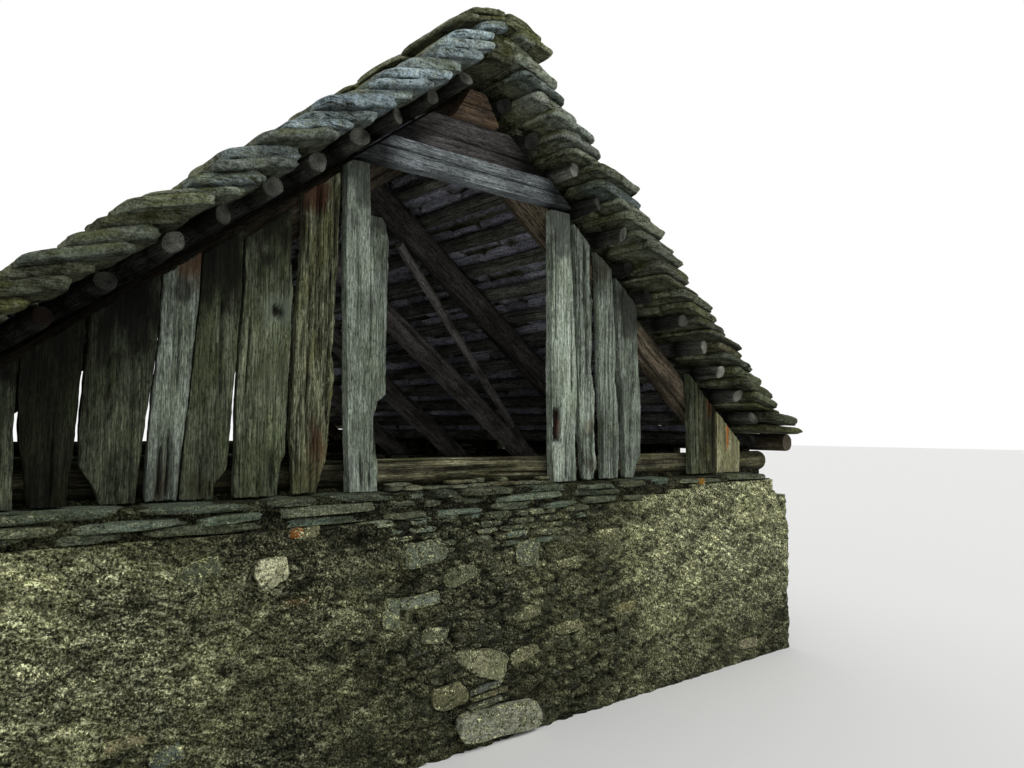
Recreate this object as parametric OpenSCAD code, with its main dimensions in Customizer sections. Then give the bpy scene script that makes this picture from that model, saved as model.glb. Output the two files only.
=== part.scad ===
// Stone-roofed hay barn: rubble walls, a loft front of upright boards, log rafters,
// round roof poles and a stack of lapped stone slabs.
// Millimetres, +Z up. The origin is on the ground, midway between the four corners.
// The front gable faces -Y. Left and right are as seen from the front.

/* [Walls] */
// Length of the masonry, front face to back face
wall_length = 6400; // [5400:50:8000]
// Width of the masonry across the gable
wall_width = 5900; // [5700:50:6600]
// Thickness of the rubble walls
wall_thick = 600; // [500:10:700]
// Height of the rubble below the flat top courses
rubble_height = 1165; // [800:5:2200]
// Thickness of one flat top course
cap_thick = 45; // [30:1:60]
// Number of flat top courses
cap_count = 3; // [1:1:5]
// How far the top courses stand out from the rubble
cap_proud = 18; // [5:1:40]
// Width of the filling stones under the eave log
eave_stone_width = 115; // [80:1:118]
// Width of a vent slot between the filling stones
vent_width = 300; // [100:10:500]
// Depth of a vent slot
vent_depth = 50; // [20:5:100]
// Width of the broken front right corner
break_width = 350; // [150:10:380]
// Depth of the broken corner, back from the front face
break_depth = 330; // [150:10:400]
// Height of the broken corner
break_height = 170; // [80:10:300]

/* [Timber frame] */
// Pitch of the rafters in degrees
roof_pitch = 37.4; // [35:0.1:40]
// How far inside the outer face the top line of a rafter meets the wall top
foot_setback = 127; // [120:1:200]
// Diameter of a rafter log
rafter_d = 200; // [150:5:220]
// Number of rafter pairs
rafter_pairs = 6; // [6:1:6]
// Diameter of the log along the foot of each gable
sill_log_d = 150; // [120:5:180]
// How far each end of a sill log stops short of the outer face
sill_log_short = 50; // [30:5:80]
// Diameter of the log along each eave
eave_log_d = 130; // [100:5:150]
// How far the middle of an eave log lies inside the outer face
eave_log_inset = 60; // [50:5:75]
// How far an eave log runs out past each gable
eave_log_run = 20; // [0:5:60]
// Diameter of the thin brace under the right rafters
brace_d = 70; // [50:5:90]
// Distance of the head of the brace from the apex, along the slope
brace_head = 650; // [500:10:900]
// How far the foot of the brace stands back from its rafter
brace_shift = 860; // [500:10:950]
// Rise of the apex above the bottom of the lintel
lintel_rise = 553; // [530:1:640]
// Height of the lintel
lintel_height = 140; // [100:5:180]
// Thickness of the lintel, front to back
lintel_thick = 90; // [60:5:110]
// Height of the collar board above the lintel
collar_height = 205; // [150:5:230]
// Height of the block under the apex
apex_block_height = 165; // [80:5:170]
// Width of the block at its foot
apex_block_width = 300; // [200:10:320]

/* [Roof] */
// Diameter of a roof pole
pole_d = 110; // [80:2:120]
// Spacing of the roof poles down the slope, as near as the slope allows
pole_spacing = 254; // [230:1:300]
// Distance of the top pole from the apex
pole_first = 190; // [170:5:220]
// Distance of the lowest pole from the foot of the rafters
pole_last = 321; // [300:1:340]
// How far the poles run out past each gable
pole_run = 80; // [40:5:120]
// Slope of one slab in degrees
slab_tilt = 15; // [12:0.5:18]
// Reach of a slab past the pole that carries it
slab_reach = 300; // [260:5:540]
// Reach of the lowest slab past the lowest pole
eave_reach = 480; // [420:5:540]
// How far the slabs run out past each gable
slab_run = 190; // [110:5:220]
// How far the lowest slabs run out past each gable
eave_run = 135; // [100:5:200]
// How much the slab ends vary from course to course
slab_rag = 25; // [0:1:30]
// Thickness of a ridge slab
ridge_thick = 35; // [25:1:60]
// Width of the lower ridge slabs on each side
ridge_width = 300; // [240:10:400]

/* [Front gable] */
// Distance of the boards' back face from the front face of the wall
board_setback = 165; // [120:5:200]
// Thickness of a board
board_thick = 45; // [30:1:55]
// Thickness of the two door posts
post_thick = 55; // [40:1:80]
// Foot of the left door post, from the middle
post_left_foot = 570; // [500:5:620]
// Width of the left door post
post_left_width = 165; // [140:5:180]
// How far the head of the left post leans out
post_left_lean = 46; // [0:1:60]
// Foot of the right door post, from the middle
post_right_foot = 556; // [500:2:600]
// Width of the right door post
post_right_width = 214; // [180:2:230]
// How far the head of the right post leans in
post_right_lean = 19; // [0:1:40]
// Width of the plank behind the left post
backing_width = 160; // [120:5:200]
// How far that plank shows inside the doorway
backing_show = 45; // [20:1:60]
// Thickness of that plank
backing_thick = 40; // [25:1:50]
// Height left between the head of that plank and the apex
backing_height = 808; // [785:1:1200]
// Distance of the last left board's foot from the outer face of the wall
left_foot_end = 467; // [300:1:700]
// Distance of the last left board's head from the outer face of the wall
left_head_end = 466; // [300:1:700]
// Distance of the last right board's foot from the outer face of the wall
right_foot_end = 510; // [300:1:700]
// Distance of the last right board's head from the outer face of the wall
right_head_end = 447; // [300:1:700]

/* [Back gable] */
// Half the width of the open middle of the back gable
back_open = 1250; // [900:10:1500]
// Width of a back gable board
back_board_width = 205; // [150:5:240]
// Gap between back gable boards
back_board_gap = 22; // [5:1:50]
// Lowest board that is worth fitting
back_board_least = 130; // [100:10:250]

/* [Hidden] */
// Clearance where one piece rests on another
seat = 0.3;
// Depth by which the slabs of one stack run into each other
fuse = 2;
// Margin of a cutting block past what it cuts
over = 50;
// Number of facets that stands for a true circle
$fn = 48;

// Each row is one board, from the door post outwards:
// gap at the foot, width at the foot, gap at the head, width at the head, drop of the head.
// The gaps and widths share out the room between the post and the last board's outer edge
left_boards = [
    [144, 125, 12, 190, 40],
    [55, 208, 37, 216, 90],
    [15, 197, 8, 184, 50],
    [12, 125, 8, 152, 35],
    [35, 140, 10, 240, 30],
    [100, 120, 16, 204, 30],
    [58, 200, 16, 200, 35],
    [24, 190, 20, 190, 30]
];
right_boards = [
    [10, 150, 10, 166, 30],
    [8, 214, 8, 180, 30],
    [8, 145, 10, 230, 35],
    [580, 112, 525, 107, 30],
    [6, 187, 8, 212, 30],
    [6, 244, 8, 288, 30]
];

half_w = wall_width / 2;
half_l = wall_length / 2;
wall_top = rubble_height + cap_count * cap_thick;
inner_l = half_l - wall_thick;

// The top line of the rafters falls from the apex at the roof's pitch
slope = tan(roof_pitch);
apex_z = wall_top + (half_w - foot_setback) * slope;
slope_length = (half_w - foot_setback) / cos(roof_pitch);

// The boards' back faces, the sill logs and the end rafters meet in one plane
face_y = half_l - board_setback;
sill_y = face_y - seat - sill_log_d / 2;
sill_z = wall_top + seat + sill_log_d / 2;
sill_top = sill_z + sill_log_d / 2;
end_rafter_y = face_y - seat - rafter_d / 2;
rafter_pitch_y = 2 * end_rafter_y / (rafter_pairs - 1);

eave_x = half_w - eave_log_inset;
eave_z = sill_top + seat + eave_log_d / 2;
eave_stone_top = eave_z - eave_log_d / 2 - seat;

pole_r = pole_d / 2;
pole_gaps = round((slope_length - pole_last - pole_first) / pole_spacing);
pole_step = (slope_length - pole_last - pole_first) / pole_gaps;

// Two slabs to each pole, so each lies half a step up the slope from the one below
course_step = pole_step / 2;
slab_thick = course_step * sin(roof_pitch - slab_tilt);
// Courses above the top pole, up to the ridge
ridge_courses = 3;
course_count = 2 * pole_gaps + 1 + ridge_courses;
// How far a slab reaches in behind its own pole, or behind the slab below it
slab_tail = 60;
slab_tail_between = 30;

lintel_z = apex_z - lintel_rise;
collar_z = lintel_z + lintel_height + seat;
apex_block_z = collar_z + collar_height + seat;

// A point on the slope frame: s down the slope from the apex, n out from the rafters' top line
function slope_x(s, n) = s * cos(roof_pitch) + n * sin(roof_pitch);
function slope_z(s, n) = apex_z - s * sin(roof_pitch) + n * cos(roof_pitch);

// Height of the rafters' top line at a distance u from the middle
function roof_line(u) = apex_z - u * slope;

// Place of roof pole i, counted from the apex
function pole_s(i) = pole_first + i * pole_step;

// The lowest slab lies on the last pole and on the eave log
last_x = slope_x(pole_s(pole_gaps), pole_r + seat);
last_z = slope_z(pole_s(pole_gaps), pole_r + seat);
eave_span = norm([eave_x - last_x, last_z - eave_z]);
eave_tilt = atan2(last_z - eave_z, eave_x - last_x) - asin((eave_log_d / 2 - pole_r) / eave_span);
// Each course above turns this much further, until it lies at the slab tilt
tilt_step = 4;
function course_tilt(j) = min(slab_tilt, eave_tilt + j * tilt_step);

// Distances of the inner and outer edges of board i from the middle of the gable
function edge_sum(rows, i, gap, width) =
    i < 0 ? 0 : rows[i][gap] + rows[i][width] + edge_sum(rows, i - 1, gap, width);
// What a gap or width in the rows is worth, so that the whole row ends at its place
function row_fit(rows, start, end, gap, width) =
    (half_w - end - start) / edge_sum(rows, len(rows) - 1, gap, width);
// A head follows the rafters, or stops short of the lintel
lintel_gap = 20;
function head_z(u, drop) = min(roof_line(u) - drop, lintel_z - lintel_gap);

// A flat upright plank. Its foot is on the wall top and its outline is drawn from the front
module plank(points, thick) {
    translate([0, -face_y, 0])
        rotate([90, 0, 0])
            linear_extrude(thick)
                polygon(points);
}

// One upright board of the front gable, on the left (-1) or the right (1)
module front_board(side, foot_a, foot_b, head_a, head_b, drop, thick) {
    plank([
        [side * foot_a, wall_top + seat],
        [side * foot_b, wall_top + seat],
        [side * head_b, head_z(head_b, drop)],
        [side * head_a, head_z(head_a, drop)]
    ], thick);
}

// Board i of a row that starts at a post, whose head leans out, and ends short of the wall's face
module row_board(rows, i, post_edge, lean, foot_end, head_end, side) {
    foot_fit = row_fit(rows, post_edge, foot_end, 0, 1);
    head_fit = row_fit(rows, post_edge + lean, head_end, 2, 3);
    foot = post_edge + foot_fit * (edge_sum(rows, i - 1, 0, 1) + rows[i][0]);
    head = post_edge + lean + head_fit * (edge_sum(rows, i - 1, 2, 3) + rows[i][2]);
    front_board(side, foot, foot + foot_fit * rows[i][1], head, head + head_fit * rows[i][3],
        rows[i][4], board_thick);
}

module front_board_left(i) {
    color("slategray")
        row_board(left_boards, i, post_left_foot + post_left_width, post_left_lean,
            left_foot_end, left_head_end, -1);
}

module front_board_right(i) {
    color("slategray")
        row_board(right_boards, i, post_right_foot + post_right_width, -post_right_lean,
            right_foot_end, right_head_end, 1);
}

module post_left() {
    foot = post_left_foot;
    head = post_left_foot + post_left_lean;
    color("gray")
        front_board(-1, foot, foot + post_left_width, head, head + post_left_width, lintel_gap,
            post_thick);
}

module post_right() {
    foot = post_right_foot;
    head = post_right_foot - post_right_lean;
    color("gray")
        front_board(1, foot, foot + post_right_width, head, head + post_right_width, lintel_gap,
            post_thick);
}

// The plank behind the left post stands on the sill log and shows inside the doorway
module post_left_backing() {
    inner = post_left_foot - backing_show;
    foot_z = sill_top + seat;
    color("gray")
        translate([-inner - backing_width, -face_y + seat, foot_z])
            cube([backing_width, backing_thick, apex_z - backing_height - foot_z]);
}

// The flat top courses of a wall, standing out from its outer face and its ends
module cap_courses(length, ends) {
    for (k = [0 : cap_count - 1]) {
        proud = k % 2 == 0 ? cap_proud : 1.5 * cap_proud;
        translate([-length / 2 - ends * proud, -proud, rubble_height + k * cap_thick])
            cube([length + 2 * ends * proud, wall_thick + proud, cap_thick]);
    }
}

// A gable wall, drawn as the front one
module gable_wall() {
    translate([0, -half_l, 0]) {
        translate([-half_w, 0, 0])
            cube([wall_width, wall_thick, rubble_height]);
        cap_courses(wall_width, 1);
    }
}

// Two steps where stones have fallen from the front right corner
module broken_corner() {
    for (step = [0, 1]) {
        width = step == 0 ? break_width : break_width / 2;
        height = step == 0 ? cap_thick : break_height;
        translate([half_w - width, -half_l - over, wall_top - height])
            cube([width + over, break_depth + over, height + over]);
    }
}

module wall_front() {
    color("darkkhaki")
        difference() {
            gable_wall();
            broken_corner();
        }
}

module wall_back() {
    color("darkkhaki")
        mirror([0, 1, 0])
            gable_wall();
}

// Filling stones along the outer edge of a side wall, with a vent slot in each rafter bay
module eave_stones() {
    difference() {
        translate([half_w - eave_stone_width, -inner_l, wall_top - fuse])
            cube([eave_stone_width, 2 * inner_l, eave_stone_top - wall_top + fuse]);
        for (bay = [0 : rafter_pairs - 2])
            translate([
                half_w - eave_stone_width - over,
                -end_rafter_y + (bay + 0.5) * rafter_pitch_y - vent_width / 2,
                eave_stone_top - vent_depth
            ])
                cube([eave_stone_width + 2 * over, vent_width, vent_depth + over]);
    }
}

module side_wall() {
    translate([half_w - wall_thick, -inner_l, 0])
        cube([wall_thick, 2 * inner_l, rubble_height]);
    translate([half_w, 0, 0])
        rotate([0, 0, 90])
            cap_courses(2 * inner_l, 0);
    eave_stones();
}

module wall_right() {
    color("darkkhaki")
        side_wall();
}

module wall_left() {
    color("darkkhaki")
        mirror([1, 0, 0])
            side_wall();
}

module sill_log(y) {
    color("peru")
        translate([-half_w + sill_log_short, y, sill_z])
            rotate([0, 90, 0])
                cylinder(d = sill_log_d, h = wall_width - 2 * sill_log_short);
}

module eave_log(side) {
    color("saddlebrown")
        translate([side * eave_x, half_l + eave_log_run, eave_z])
            rotate([90, 0, 0])
                cylinder(d = eave_log_d, h = wall_length + 2 * eave_log_run);
}

// A log down the right slope, cut upright at the apex and level at its foot
module rafter(y, foot_z) {
    difference() {
        translate([0, y, apex_z])
            rotate([0, 90 + roof_pitch, 0])
                translate([rafter_d / 2, 0, -rafter_d])
                    cylinder(d = rafter_d, h = slope_length + 2 * rafter_d);
        translate([-2 * rafter_d + seat, y - rafter_d, apex_z - 3 * rafter_d])
            cube([2 * rafter_d, 2 * rafter_d, 6 * rafter_d]);
        translate([half_w - 6 * rafter_d, y - rafter_d, foot_z + seat - 4 * rafter_d])
            cube([8 * rafter_d, 2 * rafter_d, 4 * rafter_d]);
    }
}

module rafter_pair(i) {
    y = -end_rafter_y + (i - 1) * rafter_pitch_y;
    foot_z = i == 1 || i == rafter_pairs ? sill_top : wall_top;
    color("saddlebrown") {
        rafter(y, foot_z);
        mirror([1, 0, 0])
            rafter(y, foot_z);
    }
}

// A thin pole under the right slope, from the second rafter down to the wall top
module wind_brace() {
    depth = rafter_d + seat + brace_d / 2;
    y = -end_rafter_y + rafter_pitch_y;
    // The foot is where the middle of the brace meets the wall top
    foot_s = (apex_z - depth * cos(roof_pitch) - wall_top) / sin(roof_pitch);
    run = foot_s - brace_head;
    turn = atan2(brace_shift, run);
    color("tan")
        difference() {
            translate([slope_x(brace_head, -depth), y, slope_z(brace_head, -depth)])
                rotate([0, roof_pitch, 0])
                    rotate([0, 90, turn])
                        cylinder(d = brace_d, h = norm([run, brace_shift]) + 2 * brace_d);
            translate([half_w - wall_thick - over, y, wall_top + seat - 4 * brace_d])
                cube([wall_thick, 2 * brace_shift, 4 * brace_d]);
        }
}

// Half the width that a gable piece may have at height z, kept under the rafters' top line
function under_roof(z) = (apex_z - z) / slope - 15;

module lintel() {
    low = under_roof(lintel_z);
    high = under_roof(lintel_z + lintel_height);
    top = lintel_z + lintel_height;
    color("silver")
        plank([[-low, lintel_z], [low, lintel_z], [high, top], [-high, top]], lintel_thick);
}

module collar_board() {
    low = under_roof(collar_z);
    high = under_roof(collar_z + collar_height);
    top = collar_z + collar_height;
    color("sienna")
        plank([[-low, collar_z], [low, collar_z], [high, top], [-high, top]], board_thick);
}

module apex_block() {
    half = apex_block_width / 2;
    top = apex_block_z + apex_block_height;
    color("chocolate")
        plank([[-half, apex_block_z], [half, apex_block_z], [0.3 * half, top], [-0.4 * half, top]],
            lintel_thick);
}

module roof_poles() {
    for (i = [0 : pole_gaps])
        translate([
            slope_x(pole_s(i), pole_r + seat),
            half_l + pole_run,
            slope_z(pole_s(i), pole_r + seat)
        ])
            rotate([90, 0, 0])
                cylinder(d = pole_d, h = wall_length + 2 * pole_run);
}

module roof_poles_right() {
    color("dimgray")
        roof_poles();
}

module roof_poles_left() {
    color("dimgray")
        mirror([1, 0, 0])
            roof_poles();
}

// One course of slabs. Course 0 is at the eave, and every second one lies on a pole
module slab_course(j) {
    s = pole_s(pole_gaps) - j * course_step;
    on_pole = j % 2 == 0;
    tail = on_pole ? slab_tail : slab_tail_between;
    tilt = course_tilt(j);
    reach = (j == 0 ? eave_reach : slab_reach + slab_rag * sin(101 * j)) / cos(tilt);
    run = half_l + (j == 0 ? eave_run : slab_run + slab_rag * sin(137 * j));
    translate([slope_x(s, pole_r + seat), 0, slope_z(s, pole_r + seat)])
        rotate([0, tilt, 0])
            translate([-tail, -run, pole_r + seat])
                cube([tail + reach, 2 * run, slab_thick + (j == course_count - 1 ? 0 : fuse)]);
}

module roof_slabs() {
    intersection() {
        for (j = [0 : course_count - 1])
            slab_course(j);
        translate([seat, -wall_length, 0])
            cube([wall_width, 2 * wall_length, 2 * apex_z]);
    }
}

module roof_slabs_right() {
    color("darkseagreen")
        roof_slabs();
}

module roof_slabs_left() {
    color("darkseagreen")
        mirror([1, 0, 0])
            roof_slabs();
}

// Two layers of slabs close the ridge on each side, the upper one narrower
module ridge_side() {
    last = course_count - 1;
    s = pole_s(pole_gaps) - last * course_step;
    base_x = slope_x(s, pole_r + seat);
    base_z = slope_z(s, pole_r + seat);
    ridge_run = half_l + slab_run;
    intersection() {
        translate([base_x, -ridge_run, base_z])
            rotate([0, slab_tilt, 0])
                translate([0, 0, pole_r + slab_thick + 2 * seat])
                    for (layer = [0, 1])
                        translate([0, 0, layer * ridge_thick])
                            cube([
                                (ridge_width * (layer == 0 ? 1 : 0.7) - base_x) / cos(slab_tilt),
                                2 * ridge_run,
                                ridge_thick + (layer == 0 ? fuse : 0)
                            ]);
        translate([seat, -wall_length, 0])
            cube([wall_width, 2 * wall_length, 2 * apex_z]);
    }
}

module ridge_slabs() {
    color("darkolivegreen") {
        ridge_side();
        mirror([1, 0, 0])
            ridge_side();
    }
}

// Upright boards of one half of the back gable, drawn on the right of the front
module back_boards() {
    step = back_board_width + back_board_gap;
    outer_limit = (apex_z - wall_top - back_board_least) / slope;
    count = floor((outer_limit - back_open) / step);
    for (i = [0 : count - 1])
        front_board(1, back_open + i * step, back_open + i * step + back_board_width,
            back_open + i * step, back_open + i * step + back_board_width, 30, board_thick);
}

// Left and right of the back gable are as seen from the front
module back_boards_right() {
    color("slategray")
        mirror([0, 1, 0])
            back_boards();
}

module back_boards_left() {
    color("slategray")
        rotate([0, 0, 180])
            back_boards();
}

wall_front();
wall_back();
wall_left();
wall_right();
sill_log(-sill_y);  // sill_log_front
sill_log(sill_y);  // sill_log_back
eave_log(-1);  // eave_log_left
eave_log(1);  // eave_log_right
for (i = [1 : rafter_pairs])
    rafter_pair(i);
wind_brace();
lintel();
collar_board();
apex_block();
roof_poles_left();
roof_poles_right();
roof_slabs_left();
roof_slabs_right();
ridge_slabs();
post_left();
post_left_backing();
post_right();
for (i = [0 : len(left_boards) - 1])
    front_board_left(i);
for (i = [0 : len(right_boards) - 1])
    front_board_right(i);
back_boards_left();
back_boards_right();
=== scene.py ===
"""Looks of a stone-roofed hay barn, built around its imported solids.

Metres, +Z up. The front gable faces -Y, and left and right are as seen from it.
"""
import logging
from contextlib import contextmanager
from dataclasses import dataclass, field, replace
from enum import Enum
from itertools import product
from math import asin, atan2, copysign, cos, hypot, pi, radians, sin, tan
from typing import Iterator, Optional, Sequence

import bpy
import numpy as np
from mathutils import Matrix, Vector
from numpy.random import Generator, default_rng


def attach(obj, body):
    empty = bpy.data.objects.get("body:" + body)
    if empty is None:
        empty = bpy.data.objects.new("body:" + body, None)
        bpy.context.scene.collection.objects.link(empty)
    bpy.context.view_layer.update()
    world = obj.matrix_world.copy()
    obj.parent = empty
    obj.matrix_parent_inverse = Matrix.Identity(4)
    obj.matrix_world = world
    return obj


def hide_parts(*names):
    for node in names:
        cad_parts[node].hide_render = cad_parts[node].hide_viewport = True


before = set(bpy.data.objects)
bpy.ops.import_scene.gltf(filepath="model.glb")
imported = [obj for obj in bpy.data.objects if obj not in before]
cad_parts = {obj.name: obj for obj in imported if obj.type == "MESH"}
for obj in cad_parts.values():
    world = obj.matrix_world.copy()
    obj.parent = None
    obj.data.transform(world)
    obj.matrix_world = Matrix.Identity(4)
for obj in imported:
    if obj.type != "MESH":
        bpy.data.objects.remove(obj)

LOG = logging.getLogger("hay_barn")
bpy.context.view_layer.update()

Piece = bpy.types.Object
Array = np.ndarray
Pair = tuple[float, float]
Triple = tuple[float, float, float]
Colour = tuple[float, float, float, float]
Outline = tuple[Pair, ...]


def srgb(red: int, green: int, blue: int) -> Colour:
    """Turn a colour written as it is seen, 0 to 255, into linear values."""
    linear = [((c / 255 + 0.055) / 1.055) ** 2.4 if c > 10 else c / 255 / 12.92
              for c in (red, green, blue)]
    return (*linear, 1.0)


# Sizes


@dataclass(frozen=True)
class Barn:
    """The barn's sizes, as its solids have them."""

    half_length: float = 3.2
    half_width: float = 2.95
    wall: float = 0.6
    rubble_top: float = 1.165
    wall_top: float = 1.3
    eave_stone_top: float = 1.45
    pitch: float = radians(37.4)
    setback: float = 0.127
    board_back: float = -3.035
    lintel_foot: float = 2.9053
    pole_radius: float = 0.055
    pole_first: float = 0.19
    pole_last: float = 0.321
    pole_gaps: int = 12
    pole_end: float = 3.28
    seat: float = 0.0003
    slab_tilt: float = radians(15)
    tilt_step: float = radians(4)
    slab_reach: float = 0.3
    eave_reach: float = 0.48
    slab_end: float = 3.39
    eave_end: float = 3.335
    slab_rag: float = 0.025
    ridge_courses: int = 3
    eave_log_x: float = 2.89
    eave_log_z: float = 1.5156
    eave_log_radius: float = 0.065

    @property
    def slope(self) -> float:
        """Fall of the rafters for each metre out."""
        return tan(self.pitch)

    @property
    def apex(self) -> float:
        """Height at which the rafters' top lines meet."""
        return self.wall_top + (self.half_width - self.setback) * self.slope

    @property
    def slope_length(self) -> float:
        """Length of a rafter's top line down to the wall top."""
        return (self.half_width - self.setback) / cos(self.pitch)

    @property
    def pole_step(self) -> float:
        """Distance between two roof poles down the slope."""
        return (self.slope_length - self.pole_last - self.pole_first) / self.pole_gaps

    @property
    def slab_thick(self) -> float:
        """Thickness of one course of slabs."""
        return self.pole_step / 2 * sin(self.pitch - self.slab_tilt)

    @property
    def courses(self) -> int:
        """Number of slab courses up one slope."""
        return 2 * self.pole_gaps + 1 + self.ridge_courses

    def roof_line(self, out: Array) -> Array:
        """Height of the rafters' top line at a distance from the middle."""
        return self.apex - np.abs(out) * self.slope

    def on_slope(self, down: float, off: float) -> Pair:
        """Find a point of the right slope.

        Args:
            down: distance down the slope from the apex.
            off: distance out from the rafters' top line.

        Returns:
            Its x and z.
        """
        cosine, sine = cos(self.pitch), sin(self.pitch)
        return down * cosine + off * sine, self.apex - down * sine + off * cosine

    def pole_down(self, index: int) -> float:
        """Distance of a roof pole from the apex, down the slope."""
        return self.pole_first + index * self.pole_step

    def course_tilt(self, course: int) -> float:
        """Find how steeply a course of slabs lies.

        Args:
            course: its number, where course 0 lies on the eave log and the last pole.

        Returns:
            Its slope in radians.
        """
        x, z = self.on_slope(self.pole_down(self.pole_gaps), self.pole_radius + self.seat)
        span = hypot(self.eave_log_x - x, z - self.eave_log_z)
        lowest = (atan2(z - self.eave_log_z, self.eave_log_x - x)
                  - asin((self.eave_log_radius - self.pole_radius) / span))
        return min(self.slab_tilt, lowest + course * self.tilt_step)


BARN = Barn()


# Noise


class Field:
    """Smooth noise and cells in space, always the same for a seed."""

    SIDE = 32

    def __init__(self, seed: int) -> None:
        """Fill the tables of the noise.

        Args:
            seed: sets them.
        """
        rng = default_rng(seed)
        self.values = rng.uniform(-1, 1, (self.SIDE,) * 3)
        self.centres = rng.uniform(0.1, 0.9, (self.SIDE,) * 3 + (4,))

    def at(self, points: Array, size: float | Triple) -> Array:
        """Give noise from -1 to 1.

        Args:
            points: places to look at.
            size: mean size of its lumps.

        Returns:
            A number for each place.
        """
        scaled = points / np.asarray(size, dtype=float)
        cell = np.floor(scaled)
        part = scaled - cell
        part = part * part * (3 - 2 * part)
        cell = cell.astype(int)
        total = np.zeros(len(points))
        for corner in product((0, 1), repeat=3):
            weight = np.prod(np.where(corner, part, 1 - part), axis=1)
            i, j, k = ((cell + corner) % self.SIDE).T
            total += weight * self.values[i, j, k]
        return total

    def rough(self, points: Array, size: float | Triple, octaves: int = 3) -> Array:
        """Give noise with finer and finer octaves.

        Args:
            points: places to look at.
            size: mean size of the largest lumps.
            octaves: number of octaves, each half the size and strength of the last.

        Returns:
            A number for each place.
        """
        total = np.zeros(len(points))
        for octave in range(octaves):
            total += self.at(points + 7.3 * octave, np.asarray(size) / 2**octave) / 2**octave
        return total

    def cells(self, points: Array, size: Triple) -> tuple[Array, Array]:
        """Split space into irregular cells, as stones lie in a wall.

        Args:
            points: places to look at.
            size: mean size of a cell.

        Returns:
            The distance to the nearest joint, and a number from 0 to 1 for each cell.
        """
        scaled = points / np.asarray(size)
        base = np.floor(scaled).astype(int)
        first = np.full(len(points), 9.0)
        second = np.full(len(points), 9.0)
        name = np.zeros(len(points))
        for step in product((-1, 0, 1), repeat=3):
            cell = base + step
            i, j, k = (cell % self.SIDE).T
            draw = self.centres[i, j, k]
            gap = np.linalg.norm(cell + draw[:, :3] - scaled, axis=1)
            nearer = gap < first
            second = np.where(nearer, first, np.minimum(second, gap))
            name = np.where(nearer, draw[:, 3], name)
            first = np.minimum(first, gap)
        return second - first, name


def ease(value: Array, low: float, high: float) -> Array:
    """Rise smoothly from 0 at low to 1 at high."""
    part = np.clip((value - low) / (high - low), 0, 1)
    return part * part * (3 - 2 * part)


# Mesh tools


def deselect() -> None:
    """Leave nothing selected."""
    for obj in list(bpy.context.selected_objects):
        obj.select_set(False)


def pick(obj: Piece) -> None:
    """Make an object the only selected and the active one.

    Args:
        obj: the object.
    """
    deselect()
    obj.select_set(True)
    bpy.context.view_layer.objects.active = obj


@contextmanager
def editing(obj: Piece, faces: Optional[Array] = None) -> Iterator[None]:
    """Edit a mesh with all of it selected, or only some faces.

    Args:
        obj: object to edit.
        faces: mask of the faces to select, or None for all.
    """
    pick(obj)
    bpy.context.tool_settings.mesh_select_mode = (False, False, True)
    if faces is not None:
        for part in (obj.data.vertices, obj.data.edges):
            part.foreach_set("select", np.zeros(len(part), dtype=bool))
        obj.data.polygons.foreach_set("select", faces)
    bpy.ops.object.mode_set(mode="EDIT")
    if faces is None:
        bpy.ops.mesh.select_all(action="SELECT")
    yield
    bpy.ops.object.mode_set(mode="OBJECT")


def triples(parts: bpy.types.bpy_prop_collection, key: str) -> Array:
    """Read three numbers of each point or face of a mesh.

    Args:
        parts: the points or the faces.
        key: what to read of them.

    Returns:
        A row for each.
    """
    flat = np.empty(len(parts) * 3, dtype=np.float32)
    parts.foreach_get(key, flat)
    return flat.reshape(-1, 3).astype(float)


def points_of(obj: Piece) -> Array:
    """Read a mesh's points as rows."""
    return triples(obj.data.vertices, "co")


def put_points(obj: Piece, points: Array) -> None:
    """Write a mesh's points back."""
    obj.data.vertices.foreach_set("co", points.astype(np.float32).ravel())
    obj.data.update()


class Mark(Enum):
    """The values that a mesh carries for its finish, with their kind and field."""

    GRAIN = ("grain", "FLOAT_VECTOR", "vector")
    # tone: lightness; on many pieces it also holds painted light and shade.
    TONE = ("tone", "FLOAT", "value")
    # Painted shade: darker in grooves, cracks, pits, joints and where stones meet.
    HOLLOW = ("hollow", "FLOAT", "value")
    # cut: end grain of wood; on the roof slabs it marks the inner side, painted as lit.
    CUT = ("cut", "FLOAT", "value")
    STAIN = ("stain", "FLOAT_COLOR", "color")


def mark(obj: Piece, **values: Array | float) -> None:
    """Keep values for each point of a mesh.

    Args:
        obj: object whose mesh is marked.
        values: for each mark, by its name, a row for each point or one number for all.
    """
    for word, given in values.items():
        name, form, key = Mark[word.upper()].value
        layer = obj.data.attributes.get(name) or obj.data.attributes.new(name, form, "POINT")
        width = {"FLOAT": 1, "FLOAT_VECTOR": 3, "FLOAT_COLOR": 4}[form]
        full = np.empty((len(obj.data.vertices), width), dtype=np.float32)
        full[:] = given.reshape(-1, width) if isinstance(given, Array) else given
        layer.data.foreach_set(key, full.ravel())


def blank(columns: int, rows: int, layers: int) -> Piece:
    """Make a block of even cells, one unit wide, deep and high, on z = 0.

    Args:
        columns: cells along x.
        rows: cells along y.
        layers: cells along z.

    Returns:
        The block.
    """
    bpy.ops.mesh.primitive_grid_add(x_subdivisions=columns, y_subdivisions=rows, size=1)
    obj = bpy.context.object
    with editing(obj):
        for _ in range(layers):
            step = {"value": (0, 0, 1 / layers)}
            bpy.ops.mesh.extrude_region_move(TRANSFORM_OT_translate=step)
    return obj


def copy_of(obj: Piece, place: Matrix) -> Piece:
    """Copy an object with a mesh of its own.

    Args:
        obj: the object.
        place: moves the copy's mesh to its place.

    Returns:
        The copy.
    """
    twin = obj.copy()
    twin.data = obj.data.copy()
    twin.data.transform(place)
    bpy.context.collection.objects.link(twin)
    return twin


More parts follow.
